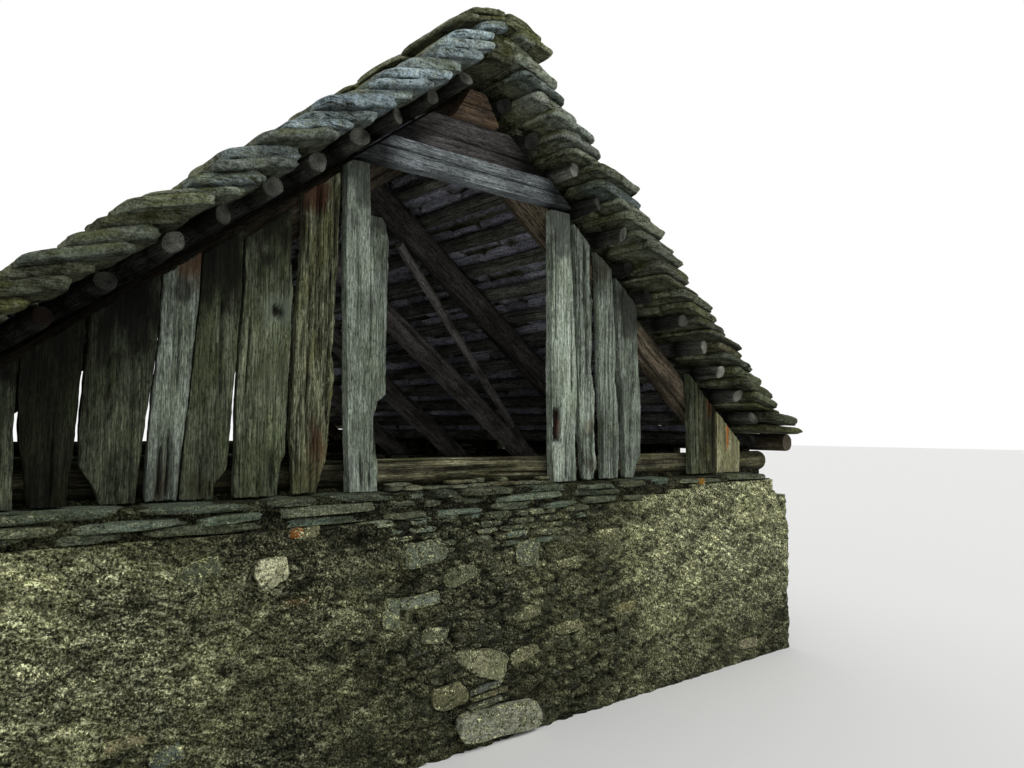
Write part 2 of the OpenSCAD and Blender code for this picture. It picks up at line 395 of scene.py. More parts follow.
def join(name: str, parts: Sequence[Piece]) -> Piece:
    """Join objects into one piece.

    Args:
        name: name of the piece.
        parts: the objects.

    Returns:
        The piece.
    """
    deselect()
    for part in parts:
        part.select_set(True)
    bpy.context.view_layer.objects.active = parts[0]
    if len(parts) > 1:
        bpy.ops.object.join()
    parts[0].name = parts[0].data.name = name
    return parts[0]


def face_out(obj: Piece) -> None:
    """Turn all faces outwards."""
    with editing(obj):
        bpy.ops.mesh.normals_make_consistent(inside=False)


def smooth(obj: Piece, angle: float) -> None:
    """Shade a mesh smooth, up to an angle in degrees."""
    pick(obj)
    bpy.ops.object.shade_smooth_by_angle(angle=radians(angle))


def dress(obj: Piece, finish: "Finish", *nodes: str) -> Piece:
    """Give a piece its finish, its body and the solids that it stands for.

    Args:
        obj: the piece.
        finish: the finish it gets.
        nodes: names of the solids that it replaces.

    Returns:
        The same piece.
    """
    obj.data.materials.clear()
    obj.data.materials.append(finish.material())
    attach(obj, "root")
    if nodes:
        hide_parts(*nodes)
    LOG.info("%s: %d faces", obj.name, len(obj.data.polygons))
    return obj


# Finishes


class Sig:
    """A socket of a shader that takes part in Python expressions."""

    def __init__(self, graph: "Graph", socket: bpy.types.NodeSocket) -> None:
        """Keep the socket and the graph that holds it."""
        self.graph, self.socket = graph, socket

    def __add__(self, other: "Sig | float") -> "Sig":
        """Add."""
        return self.graph.math("ADD", self, other)

    def __sub__(self, other: "Sig | float") -> "Sig":
        """Subtract."""
        return self.graph.math("SUBTRACT", self, other)

    def __rsub__(self, other: float) -> "Sig":
        """Subtract from a number."""
        return self.graph.math("SUBTRACT", other, self)

    def __mul__(self, other: "Sig | float") -> "Sig":
        """Multiply."""
        return self.graph.math("MULTIPLY", self, other)

    def __abs__(self) -> "Sig":
        """Drop the sign."""
        return self.graph.math("ABSOLUTE", self, 0.0)

    __radd__ = __add__
    __rmul__ = __mul__


Value = Sig | float | Triple | Colour


class Graph:
    """The node tree of one material."""

    def __init__(self, name: str) -> None:
        """Start a material with one shader.

        Args:
            name: name of the material.
        """
        self.made = bpy.data.materials.new(name)
        self.made.use_nodes = True
        self.tree = self.made.node_tree
        self.shader = self.tree.nodes["Principled BSDF"]

    def node(self, kind: str, settings: Optional[dict] = None,
             inputs: Optional[dict] = None) -> bpy.types.Node:
        """Add a node.

        Args:
            kind: type of the node, without its ShaderNode prefix.
            settings: properties, set before the sockets.
            inputs: values or links of its sockets, by name or number.

        Returns:
            The node.
        """
        made = self.tree.nodes.new("ShaderNode" + kind)
        for key, value in (settings or {}).items():
            setattr(made, key, value)
        for key, value in (inputs or {}).items():
            if isinstance(value, Sig):
                self.tree.links.new(value.socket, made.inputs[key])
            else:
                made.inputs[key].default_value = value
        return made

    def out(self, node: bpy.types.Node, key: str | int = 0) -> Sig:
        """Take an output of a node into expressions."""
        return Sig(self, node.outputs[key])

    def math(self, operation: str, a: Value, b: Value) -> Sig:
        """Add a Math node."""
        return self.out(self.node("Math", {"operation": operation}, {0: a, 1: b}))

    def band(self, value: Sig, low: float, high: float) -> Sig:
        """Rise smoothly from 0 at low to 1 at high."""
        sockets = {"Value": value, "From Min": low, "From Max": high}
        return self.out(self.node("MapRange", {"interpolation_type": "SMOOTHSTEP"}, sockets))

    def mix(self, share: Sig | float, a: Value, b: Value) -> Sig:
        """Blend two colours."""
        return self.out(self.node("Mix", {"data_type": "RGBA"}, {0: share, 6: a, 7: b}), 2)

    def shade(self, colour: Sig, amount: Sig | float) -> Sig:
        """Make a colour darker or lighter by a factor."""
        return self.out(self.node("VectorMath", {"operation": "SCALE"}, {0: colour, 3: amount}))

    def stretch(self, vector: Sig, by: Triple) -> Sig:
        """Scale a position along each axis."""
        return self.out(self.node("VectorMath", {"operation": "MULTIPLY"}, {0: vector, 1: by}))

    def noise(self, vector: Sig, scale: float, detail: float = 3, warp: float = 0,
              rough: float = 0.5) -> Sig:
        """Add a Noise texture."""
        sockets = {"Vector": vector, "Scale": scale, "Detail": detail, "Distortion": warp,
                   "Roughness": rough}
        return self.out(self.node("TexNoise", {}, sockets))

    def cells(self, vector: Sig, scale: float, output: str = "Distance") -> Sig:
        """Add a Voronoi texture."""
        return self.out(self.node("TexVoronoi", {}, {"Vector": vector, "Scale": scale}), output)

    def pushed(self, vector: Sig, scale: float, by: float) -> Sig:
        """Push a position about with a Noise texture, by up to half of an amount."""
        push = self.out(self.node("TexNoise", {}, {"Vector": vector, "Scale": scale}), "Color")
        return self.out(self.node("VectorMath", {"operation": "MULTIPLY_ADD"},
                                  {0: push, 1: (by, by, by), 2: vector}))

    def attribute(self, kind: Mark, output: str = "Fac") -> Sig:
        """Read a value that the mesh carries."""
        return self.out(self.node("Attribute", {"attribute_name": kind.value[0]}), output)

    def place(self) -> Sig:
        """Read the position on the object."""
        return self.out(self.node("TexCoord"), "Object")

    def axes(self, vector: Sig) -> tuple[Sig, Sig, Sig]:
        """Split a vector."""
        split = self.node("SeparateXYZ", {}, {0: vector})
        return self.out(split, 0), self.out(split, 1), self.out(split, 2)

    def upward(self) -> Sig:
        """Read how far a surface faces up, from -1 to 1."""
        return self.axes(self.out(self.node("NewGeometry"), "Normal"))[2]

    def flatness(self) -> Sig:
        """Read how squarely a surface faces along an axis: 1 on a face, less on a rounded rim."""
        x, y, z = (self.math("ABSOLUTE", part, 0.0)
                   for part in self.axes(self.out(self.node("NewGeometry"), "Normal")))
        return self.math("MAXIMUM", self.math("MAXIMUM", x, y), z)

    def finish(self, colour: Sig, height: Sig, depth: float, rough: float) -> bpy.types.Material:
        """Feed the shader.

        Args:
            colour: base colour.
            height: relief from 0 to 1.
            depth: what a height of 1 is worth.
            rough: roughness of the surface.

        Returns:
            The material.
        """
        bump = self.node("Bump", {}, {"Height": height, "Distance": depth, "Strength": 1.0})
        self.tree.links.new(colour.socket, self.shader.inputs["Base Color"])
        self.tree.links.new(bump.outputs[0], self.shader.inputs["Normal"])
        self.shader.inputs["Roughness"].default_value = rough
        self.shader.inputs["Specular IOR Level"].default_value = 0.08
        return self.made


@dataclass(frozen=True)
class Finish:
    """What all finishes share."""

    name: str
    slot: str

    def material(self) -> bpy.types.Material:
        """Give the material, made on first use."""
        return bpy.data.materials.get(self.name) or self.make()

    def make(self) -> bpy.types.Material:
        """Make the material."""
        raise NotImplementedError


@dataclass(frozen=True)
class Wood(Finish):
    """Old wood with streaks, fibres, fine cracks, green growth and cracked ends."""

    pale: Colour = srgb(158, 168, 156)
    body: Colour = srgb(118, 127, 114)
    dark: Colour = srgb(66, 70, 60)
    growth: Colour = srgb(96, 106, 82)
    growth_share: float = 0.4
    streak: float = 26
    relief: float = 0.004
    contrast: float = 0.45
    cracked: float = 0.85

    def make(self) -> bpy.types.Material:
        """Build the nodes.

        Returns:
            The material.
        """
        g = Graph(self.name)
        grain = g.attribute(Mark.GRAIN, "Vector")
        long = g.stretch(grain, (1, 1, 0.05))
        longer = g.stretch(grain, (1, 1, 0.03))
        broad = g.noise(long, self.streak * 1.4, 5, 0.0, 0.6)
        fine = g.noise(longer, 170, 4, 0.4, 0.7)
        fibre = g.noise(g.stretch(grain, (1, 1, 0.16)), 190, 4, 0.0, 0.75)
        cloud = g.noise(g.stretch(grain, (1, 1, 0.45)), 7, 4, 0.4, 0.62)
        patch = g.noise(g.stretch(grain, (1, 1, 0.4)), 9, 5, 0.3, 0.6)
        speck = g.noise(g.stretch(grain, (1, 1, 0.5)), 90, 3, 0.0, 0.6)
        split = g.noise(longer, 62, 2, 0.5)
        crack = (1 - g.band(abs(split - 0.5), 0.0, 0.014)) * g.band(patch, 0.44, 0.56)
        colour = g.mix(1 - self.contrast * g.band(broad, 0.55, 0.34), self.dark, self.body)
        colour = g.mix(g.band(fine, 0.46, 0.6) * 0.7, colour, self.pale)
        colour = g.mix(g.band(fine, 0.46, 0.36) * 0.7, colour, self.dark)
        colour = g.mix(g.band(patch, 0.48, 0.62) * self.growth_share, colour, self.growth)
        colour = g.mix(g.band(speck, 0.44, 0.36) * 0.6, colour, self.dark)
        colour = g.shade(colour, (0.35 + 1.3 * g.band(fibre, 0.28, 0.72))
                         * (0.7 + 0.6 * g.band(cloud, 0.36, 0.64)))
        x, y, _ = g.axes(grain)
        across = g.math("SQRT", x * x + y * y, 0.0)
        rings = g.noise(g.out(g.node("CombineXYZ", {}, {0: across, 1: 0.0, 2: 0.0})), 260, 2)
        angle = g.math("ARCTAN2", y, x)
        spoke = g.noise(g.out(g.node("CombineXYZ", {}, {0: angle * 0.3, 1: across, 2: 0.0})), 9, 2)
        gap = 1 - g.band(abs(spoke - 0.5), 0.0, 0.015)
        end = g.mix(g.band(rings, 0.35, 0.65), self.body, self.pale)
        end = g.mix(gap * 0.8, end, self.dark)
        cut = g.attribute(Mark.CUT)
        colour = g.mix(cut, colour, end)
        hollow = g.attribute(Mark.HOLLOW)
        colour = g.mix(crack * (1 - cut) * self.cracked, colour, srgb(14, 13, 10))
        colour = g.mix(g.attribute(Mark.STAIN, "Alpha"), colour, g.attribute(Mark.STAIN, "Color"))
        # Painted shade: darker in grooves and cracks, where the hollow mark lies.
        colour = g.shade(colour, (1 - 0.8 * hollow) * g.attribute(Mark.TONE))
        height = 0.5 * fine + 0.35 * fibre - 0.5 * crack + cut * (0.3 * rings - 0.6 * gap)
        return g.finish(colour, height, self.relief, 0.88)


@dataclass(frozen=True)
class Slab(Finish):
    """Split grey-green stone with fine layers, lichen, and moss where rain falls."""

    pale: Colour = srgb(160, 164, 138)
    body: Colour = srgb(108, 112, 84)
    dark: Colour = srgb(50, 51, 34)
    moss: Colour = srgb(118, 120, 60)
    moss_share: float = 0.55
    # The two inside colours paint the slabs' inner side pale and bluish: stone out of the rain,
    # made lighter as painted light inside the roof.
    inside: Colour = srgb(196, 198, 214)
    lit_inside_dark: Colour = srgb(140, 138, 146)

    def make(self) -> bpy.types.Material:
        """Build the nodes.

        Returns:
            The material.
        """
        g = Graph(self.name)
        place = g.place()
        tone = g.attribute(Mark.TONE)
        up = g.upward()
        # Painted light on the inner side, where it doesn't face up.
        inner = g.attribute(Mark.CUT) * g.band(up, 0.75, 0.5)
        layers = g.noise(g.stretch(place, (1, 1, 9)), 13, 6, 0.5, 0.68)
        grit = g.noise(place, 95, 4, 0.0, 0.65)
        cloud = g.noise(place, 7, 5, 0.0, 0.6)
        spots = g.noise(place, 30, 4, 0.3, 0.6)
        share, own = g.attribute(Mark.STAIN, "Alpha"), g.attribute(Mark.STAIN, "Color")
        body = g.mix(share, self.body, own)
        pale = g.mix(share, self.pale, g.shade(own, 1.8))
        colour = g.mix(g.band(layers, 0.4, 0.53), self.dark, body)
        colour = g.mix(g.band(cloud, 0.42, 0.62) * 0.5, colour, pale)
        colour = g.mix(g.band(layers, 0.54, 0.63) * 0.6, colour, pale)
        colour = g.mix(g.band(spots, 0.54, 0.62) * 0.3, colour, srgb(176, 182, 162))
        colour = g.mix(g.band(spots, 0.46, 0.38) * 0.5, colour, self.dark)
        moss = g.band(g.noise(place, 4.5, 6, 0.2, 0.6), 0.44, 0.62) * g.band(up, -0.6, 0.2)
        colour = g.mix(moss * self.moss_share, colour, g.mix(grit, srgb(74, 82, 40), self.moss))
        # Painted shade: faces turned down are darkened.
        colour = g.mix(g.band(up, -0.6, -0.9) * 0.5, colour, self.dark)
        dry_and_lit = g.mix(g.band(layers, 0.42, 0.56), self.lit_inside_dark, self.inside)
        colour = g.mix(inner, colour, dry_and_lit)
        colour = g.shade(colour, (0.35 + 1.3 * g.band(grit, 0.25, 0.75)) * tone)
        # Painted shade: darker at the slabs' rims where they meet, from the hollow mark.
        colour = g.shade(colour, 1 - 0.7 * g.attribute(Mark.HOLLOW))
        height = 0.8 * layers + 0.4 * spots + 0.4 * grit
        return g.finish(colour, height, 0.018, 0.9)


@dataclass(frozen=True)
class Rubble(Finish):
    """Coarse lime render over rubble, with bare stones, darker under the top."""

    lime: Colour = srgb(128, 131, 91)
    earth: Colour = srgb(92, 94, 66)
    # Dark of grime and of painted shade in the render's streaks and pits.
    dirt_and_shade: Colour = srgb(26, 27, 17)
    grit: Colour = srgb(214, 216, 174)
    lean: float = 0.3

    def make(self) -> bpy.types.Material:
        """Build the nodes.

        Returns:
            The material.
        """
        g = Graph(self.name)
        place = g.place()
        x, y, z = g.axes(place)
        slant = g.out(g.node("CombineXYZ", {}, {0: 0.6 * x, 1: 0.6 * y,
                                                2: 1.6 * (z + self.lean * x)}))
        cloud = g.noise(place, 1.7, 4)
        blotch = g.noise(place, 8, 5)
        streak = g.noise(slant, 34, 7, 0.6, 0.72)
        grain = g.noise(place, 92, 6, 0.4, 0.8)
        dust = g.noise(place, 150, 3, 0.2, 0.7)
        chips = g.pushed(slant, 40, 0.02)
        flake = g.band(g.cells(chips, 26), 0.62, 0.3)
        bright = g.axes(g.cells(chips, 26, "Color"))[0]
        colour = g.mix(g.band(cloud, 0.4, 0.58), self.earth, self.lime)
        colour = g.mix(g.band(blotch, 0.52, 0.62) * 0.5, colour, srgb(74, 78, 58))
        # Dark streaks and specks: partly grime, partly painted shade of the render's small ridges
        # and pits.
        colour = g.mix(g.band(streak, 0.48, 0.41) * 0.8, colour, self.dirt_and_shade)
        colour = g.mix(g.band(streak, 0.54, 0.61) * 0.6, colour, self.grit)
        colour = g.mix(g.band(grain, 0.48, 0.43), colour, self.dirt_and_shade)
        colour = g.mix(g.band(grain, 0.54, 0.59), colour, self.grit)
        colour = g.shade(colour, (0.75 + 0.5 * flake) * (0.6 + 1.0 * bright))
        rim = g.band(g.flatness(), 0.97, 0.8)
        crust = g.band(g.noise(place, 34, 5, 0.3, 0.65) + 0.14 * rim, 0.5, 0.57)
        rendered = 0.3 + 0.6 * g.band(z, BARN.rubble_top + 0.03, BARN.rubble_top - 0.03)
        stone = g.attribute(Mark.STAIN, "Alpha") * (1 - rendered * crust)
        veins = g.noise(g.stretch(place, (1, 1, 3.5)), 22, 6, 0.5, 0.66)
        face = g.shade(g.attribute(Mark.STAIN, "Color"), 0.6 + 0.8 * g.band(veins, 0.3, 0.7))
        face = g.mix(g.band(grain, 0.47, 0.38) * 0.8, face, self.dirt_and_shade)
        face = g.mix(g.band(grain, 0.56, 0.64) * 0.4, face, self.grit)
        face = g.mix(g.band(blotch, 0.54, 0.62) * 0.45, face, srgb(72, 78, 50))
        colour = g.mix(stone, colour, face)
        colour = g.shade(colour, (0.3 + 1.4 * g.band(dust, 0.28, 0.72)) * g.attribute(Mark.TONE))
        # Painted shade: darker in pits and joints, from the hollow mark.
        colour = g.shade(colour, 1 - 0.85 * g.attribute(Mark.HOLLOW))
        height = 0.6 * grain + 0.7 * streak + 0.3 * dust + 0.35 * flake * bright
        return g.finish(colour, height - 0.5 * stone * streak, 0.016, 0.95)


SILVER = Wood("silver_board", "weathered_board", contrast=0.32, cracked=0.5)
BLUED = Wood("blued_board", "weathered_board", srgb(160, 168, 170), srgb(112, 118, 120),
             srgb(62, 64, 64), srgb(120, 128, 126), 0.3, 20, 0.003, 0.4)
GREY = Wood("grey_board", "weathered_board", srgb(120, 127, 104), srgb(80, 86, 68),
            srgb(36, 37, 27), srgb(74, 83, 50), 0.5)
GROOVED = Wood("grooved_board", "weathered_board", srgb(132, 136, 110), srgb(82, 84, 64),
               srgb(30, 29, 21), srgb(92, 94, 56), 0.5, 40, 0.008, 0.9)
SHADED = Wood("shaded_board", "dark_board", srgb(44, 47, 34), srgb(27, 29, 20),
              srgb(14, 14, 10), srgb(38, 44, 24), 0.4)
TAN = Wood("tan_board", "weathered_board", srgb(186, 184, 148), srgb(148, 146, 112),
           srgb(84, 78, 58), srgb(132, 134, 88), 0.4)
BROWN = Wood("brown_board", "dark_board", srgb(96, 94, 92), srgb(66, 63, 62),
             srgb(34, 31, 31), srgb(72, 72, 66), 0.3)
RUST = Wood("rust_block", "dark_board", srgb(112, 88, 60), srgb(76, 66, 56),
            srgb(44, 40, 38), srgb(84, 80, 74), 0.3)
LOGS = Wood("old_log", "log", srgb(124, 114, 98), srgb(84, 76, 62), srgb(32, 28, 23),
            srgb(70, 68, 48), 0.4, 30, 0.006, 0.8)
# Painted light: a paler copy of the old logs, for the timbers inside, as the light there.
LIT_INNER = Wood("lit_inner_log", "log", srgb(160, 156, 152), srgb(120, 116, 112), srgb(52, 48, 46),
             srgb(100, 98, 88), 0.2, 30, 0.005, 0.7)
SILL = Wood("sill_log", "log", srgb(126, 124, 98), srgb(84, 82, 62), srgb(30, 27, 20),
            srgb(84, 84, 52), 0.5, 30, 0.006, 0.9)
POLES = Wood("round_pole", "pole", srgb(124, 126, 116), srgb(84, 84, 78), srgb(32, 31, 28),
             srgb(72, 74, 60), 0.3, 34, 0.005)
STONE = Slab("roof_stone", "roof_slab")
RENDER = Rubble("rubble_render", "rubble_wall")


# Boards


@dataclass(frozen=True)
class Spot:
    """A stain, knot, sunken patch or painted shadow on the front of a board.

    Attributes:
        middle: x and z of its middle.
        size: half its width and half its height.
        colour: what it turns the wood to.
        strength: how much of the colour it takes at its middle.
        sink: how deep it is cut or worn.
        square: whether its edges are straight, as of a mortise.
    """

    middle: Pair
    size: Pair
    colour: Colour
    strength: float = 0.8
    sink: float = 0.0
    square: bool = False

    def share(self, points: Array, noise: Array) -> Array:
        """Find how much each point belongs to the spot.

        Args:
            points: points of the board.
            noise: makes its rim uneven.

        Returns:
            A number from 0 to 1 for each.
        """
        dx = (points[:, 0] - self.middle[0]) / self.size[0]
        dz = (points[:, 2] - self.middle[1]) / self.size[1]
        if self.square:
            return 1 - ease(np.maximum(np.abs(dx), np.abs(dz)) + 0.08 * noise, 0.85, 1.05)
        return 1 - ease(np.hypot(dx, dz) + 0.35 * noise, 0.45, 1.1)


@dataclass(frozen=True)
class Crack:
    """A split along the grain: its x, lowest and highest z, width and depth."""

    x: float
    low: float
    high: float
    width: float = 0.006
    depth: float = 0.012


@dataclass
class Board:
    """An upright board of a gable, worn to its outline.

    Attributes:
        node: the solid that it stands for.
        left: height and x of its left edge, from the foot up.
        right: height and x of its right edge.
        finish: its wood.
        drop: how far its head stays below the rafters' top line.
        thick: its thickness.
        groove: depth of its weathered grooves.
        ragged: how far its ends are frayed.
        tone: how light it is.
        spots: its stains and knots, and on some the eave's painted shadow at the head.
        cracks: its splits.
        foot: height of its lower end.
        head: height of its upper end, or None where it follows the roof.
        back: y of its back face.
        cell: width and height of its mesh's faces.
        turned: whether it stands in the back gable.
        shade: how much painted shadow of the eave darkens its head.
    """

    node: str
    left: Outline
    right: Outline
    finish: Wood
    drop: float = 0.04
    thick: float = 0.045
    groove: float = 0.002
    ragged: float = 0.008
    tone: float = 1.0
    spots: tuple[Spot, ...] = ()
    cracks: tuple[Crack, ...] = ()
    foot: float = BARN.wall_top + BARN.seat
    head: Optional[float] = None
    back: float = BARN.board_back
    cell: Pair = (0.005, 0.014)
    turned: bool = False
    shade: float = 0.0

    def top(self, x: Array) -> Array:
        """Find the height of the head.

        Args:
            x: places across the gable.

        Returns:
            The height at each.
        """
        if self.head is not None:
            return np.full(len(x), self.head)
        return np.minimum(BARN.roof_line(x) - self.drop, BARN.lintel_foot - 0.02)

    def edge(self, outline: Outline, z: Array) -> Array:
        """Give the x of an edge at each height."""
        return np.interp(z, *zip(*outline))

    def build(self, seed: int) -> Piece:
        """Model the board.

        Args:
            seed: sets its own grain.

        Returns:
            The piece.
        """
        width = self.right[0][1] - self.left[0][1]
        length = float(self.top(np.array([self.left[-1][1]]))[0]) - self.foot
        obj = blank(max(6, round(width / self.cell[0])), max(8, round(length / self.cell[1])), 2)
        noise = Field(seed)
        s, t, w = points_of(obj).T
        s, t, front = s + 0.5, t + 0.5, w > 0.75
        ends = np.array([self.left[-1][1], self.right[-1][1]])
        height = self.top(ends[0] + s * (ends[1] - ends[0])) - self.foot
        flat = np.stack([s * 0.2, t * height, w * 0.05], axis=1)
        fray = self.ragged * (0.5 + 0.5 * noise.rough(flat, (0.012, 9, 0.02), 3))
        z = self.foot + t * height + np.where(t < 0.5, fray * (1 - t) ** 30, -fray * t**30)
        low = self.edge(self.left, z) + 0.003 * noise.rough(flat, (9, 0.06, 0.02), 3)
        high = self.edge(self.right, z) + 0.003 * noise.rough(flat + 5, (9, 0.06, 0.02), 3)
        x = low + s * (high - low)
        place = np.stack([x, np.zeros_like(x), z], axis=1)
        curve = 0.006 * noise.at(place, (9, 9, 0.7))
        wander = place + np.stack([curve, 0 * x, 0 * x], axis=1)
        ridge = 1 - np.abs(noise.rough(wander, (0.011, 1, 0.5), 2))
        sunk = self.groove * (1.3 * (1 - ridge**3)) + 0.0015 * noise.rough(place, (0.05, 1, 0.3), 3)
        # Painted shade in the grooves; the cracks below add theirs.
        hollow = ease(ridge, 0.72, 0.2) * min(1.0, self.groove / 0.004)
        for crack in self.cracks:
            line = crack.x + 0.006 * noise.at(place, (9, 9, 0.25))
            inside = (ease(z, crack.low - 0.01, crack.low + 0.05)
                      * ease(-z, -crack.high - 0.01, -crack.high + 0.08))
            valley = np.exp(-(((x - line) / crack.width) ** 2)) * inside
            sunk += crack.depth * valley
            hollow = np.maximum(hollow, valley)
        stain = np.zeros((len(x), 4))
        mottle = noise.rough(place, (0.03, 1, 0.06), 3)
        for spot in self.spots:
            share = spot.share(place, mottle)
            sunk += spot.sink * share
            keep = (share * spot.strength)[:, None]
            stain[:, :3] = np.where(keep > 0, stain[:, :3] * (1 - keep) + keep
                                    * np.array(spot.colour[:3]), stain[:, :3])
            stain[:, 3] = np.maximum(stain[:, 3], keep[:, 0])
        filled = stain[:, 3] > 0
        stain[filled, :3] /= stain[filled, 3:]
        rim = np.abs(2 * s - 1)
        sunk += 0.006 * ease(rim, 0.86, 1.0) * (0.6 + 0.4 * noise.at(place, (0.5, 1, 0.05)))
        bow = 0.004 * noise.at(place, (0.3, 1, 0.9))
        worn = self.thick - np.clip(sunk, 0, self.thick * 0.7)
        depth = np.where(front, worn, np.where(w > 0.25, self.thick / 2, 0.0))
        put_points(obj, np.stack([x, self.back - depth + bow * (w > 0.25), z], axis=1))
        if self.turned:
            obj.data.transform(Matrix.Rotation(pi, 4, "Z"))
        # Painted shade: the head darkens, as in the eave's shadow.
        under = ease(z, self.foot + height - 0.42, self.foot + height - 0.02)
        mark(obj, grain=np.stack([x + curve + seed, depth, z + 3.7 * seed], axis=1),
             tone=self.tone * (1 - self.shade * under), hollow=np.clip(hollow, 0, 1) * front,
             cut=0.0, stain=stain * front[:, None])
        face_out(obj)
        smooth(obj, 60)
        obj.name = self.node + "_worn"
        return obj


RED = srgb(74, 42, 30)
ORANGE = srgb(92, 56, 24)
BLACK = srgb(16, 15, 12)

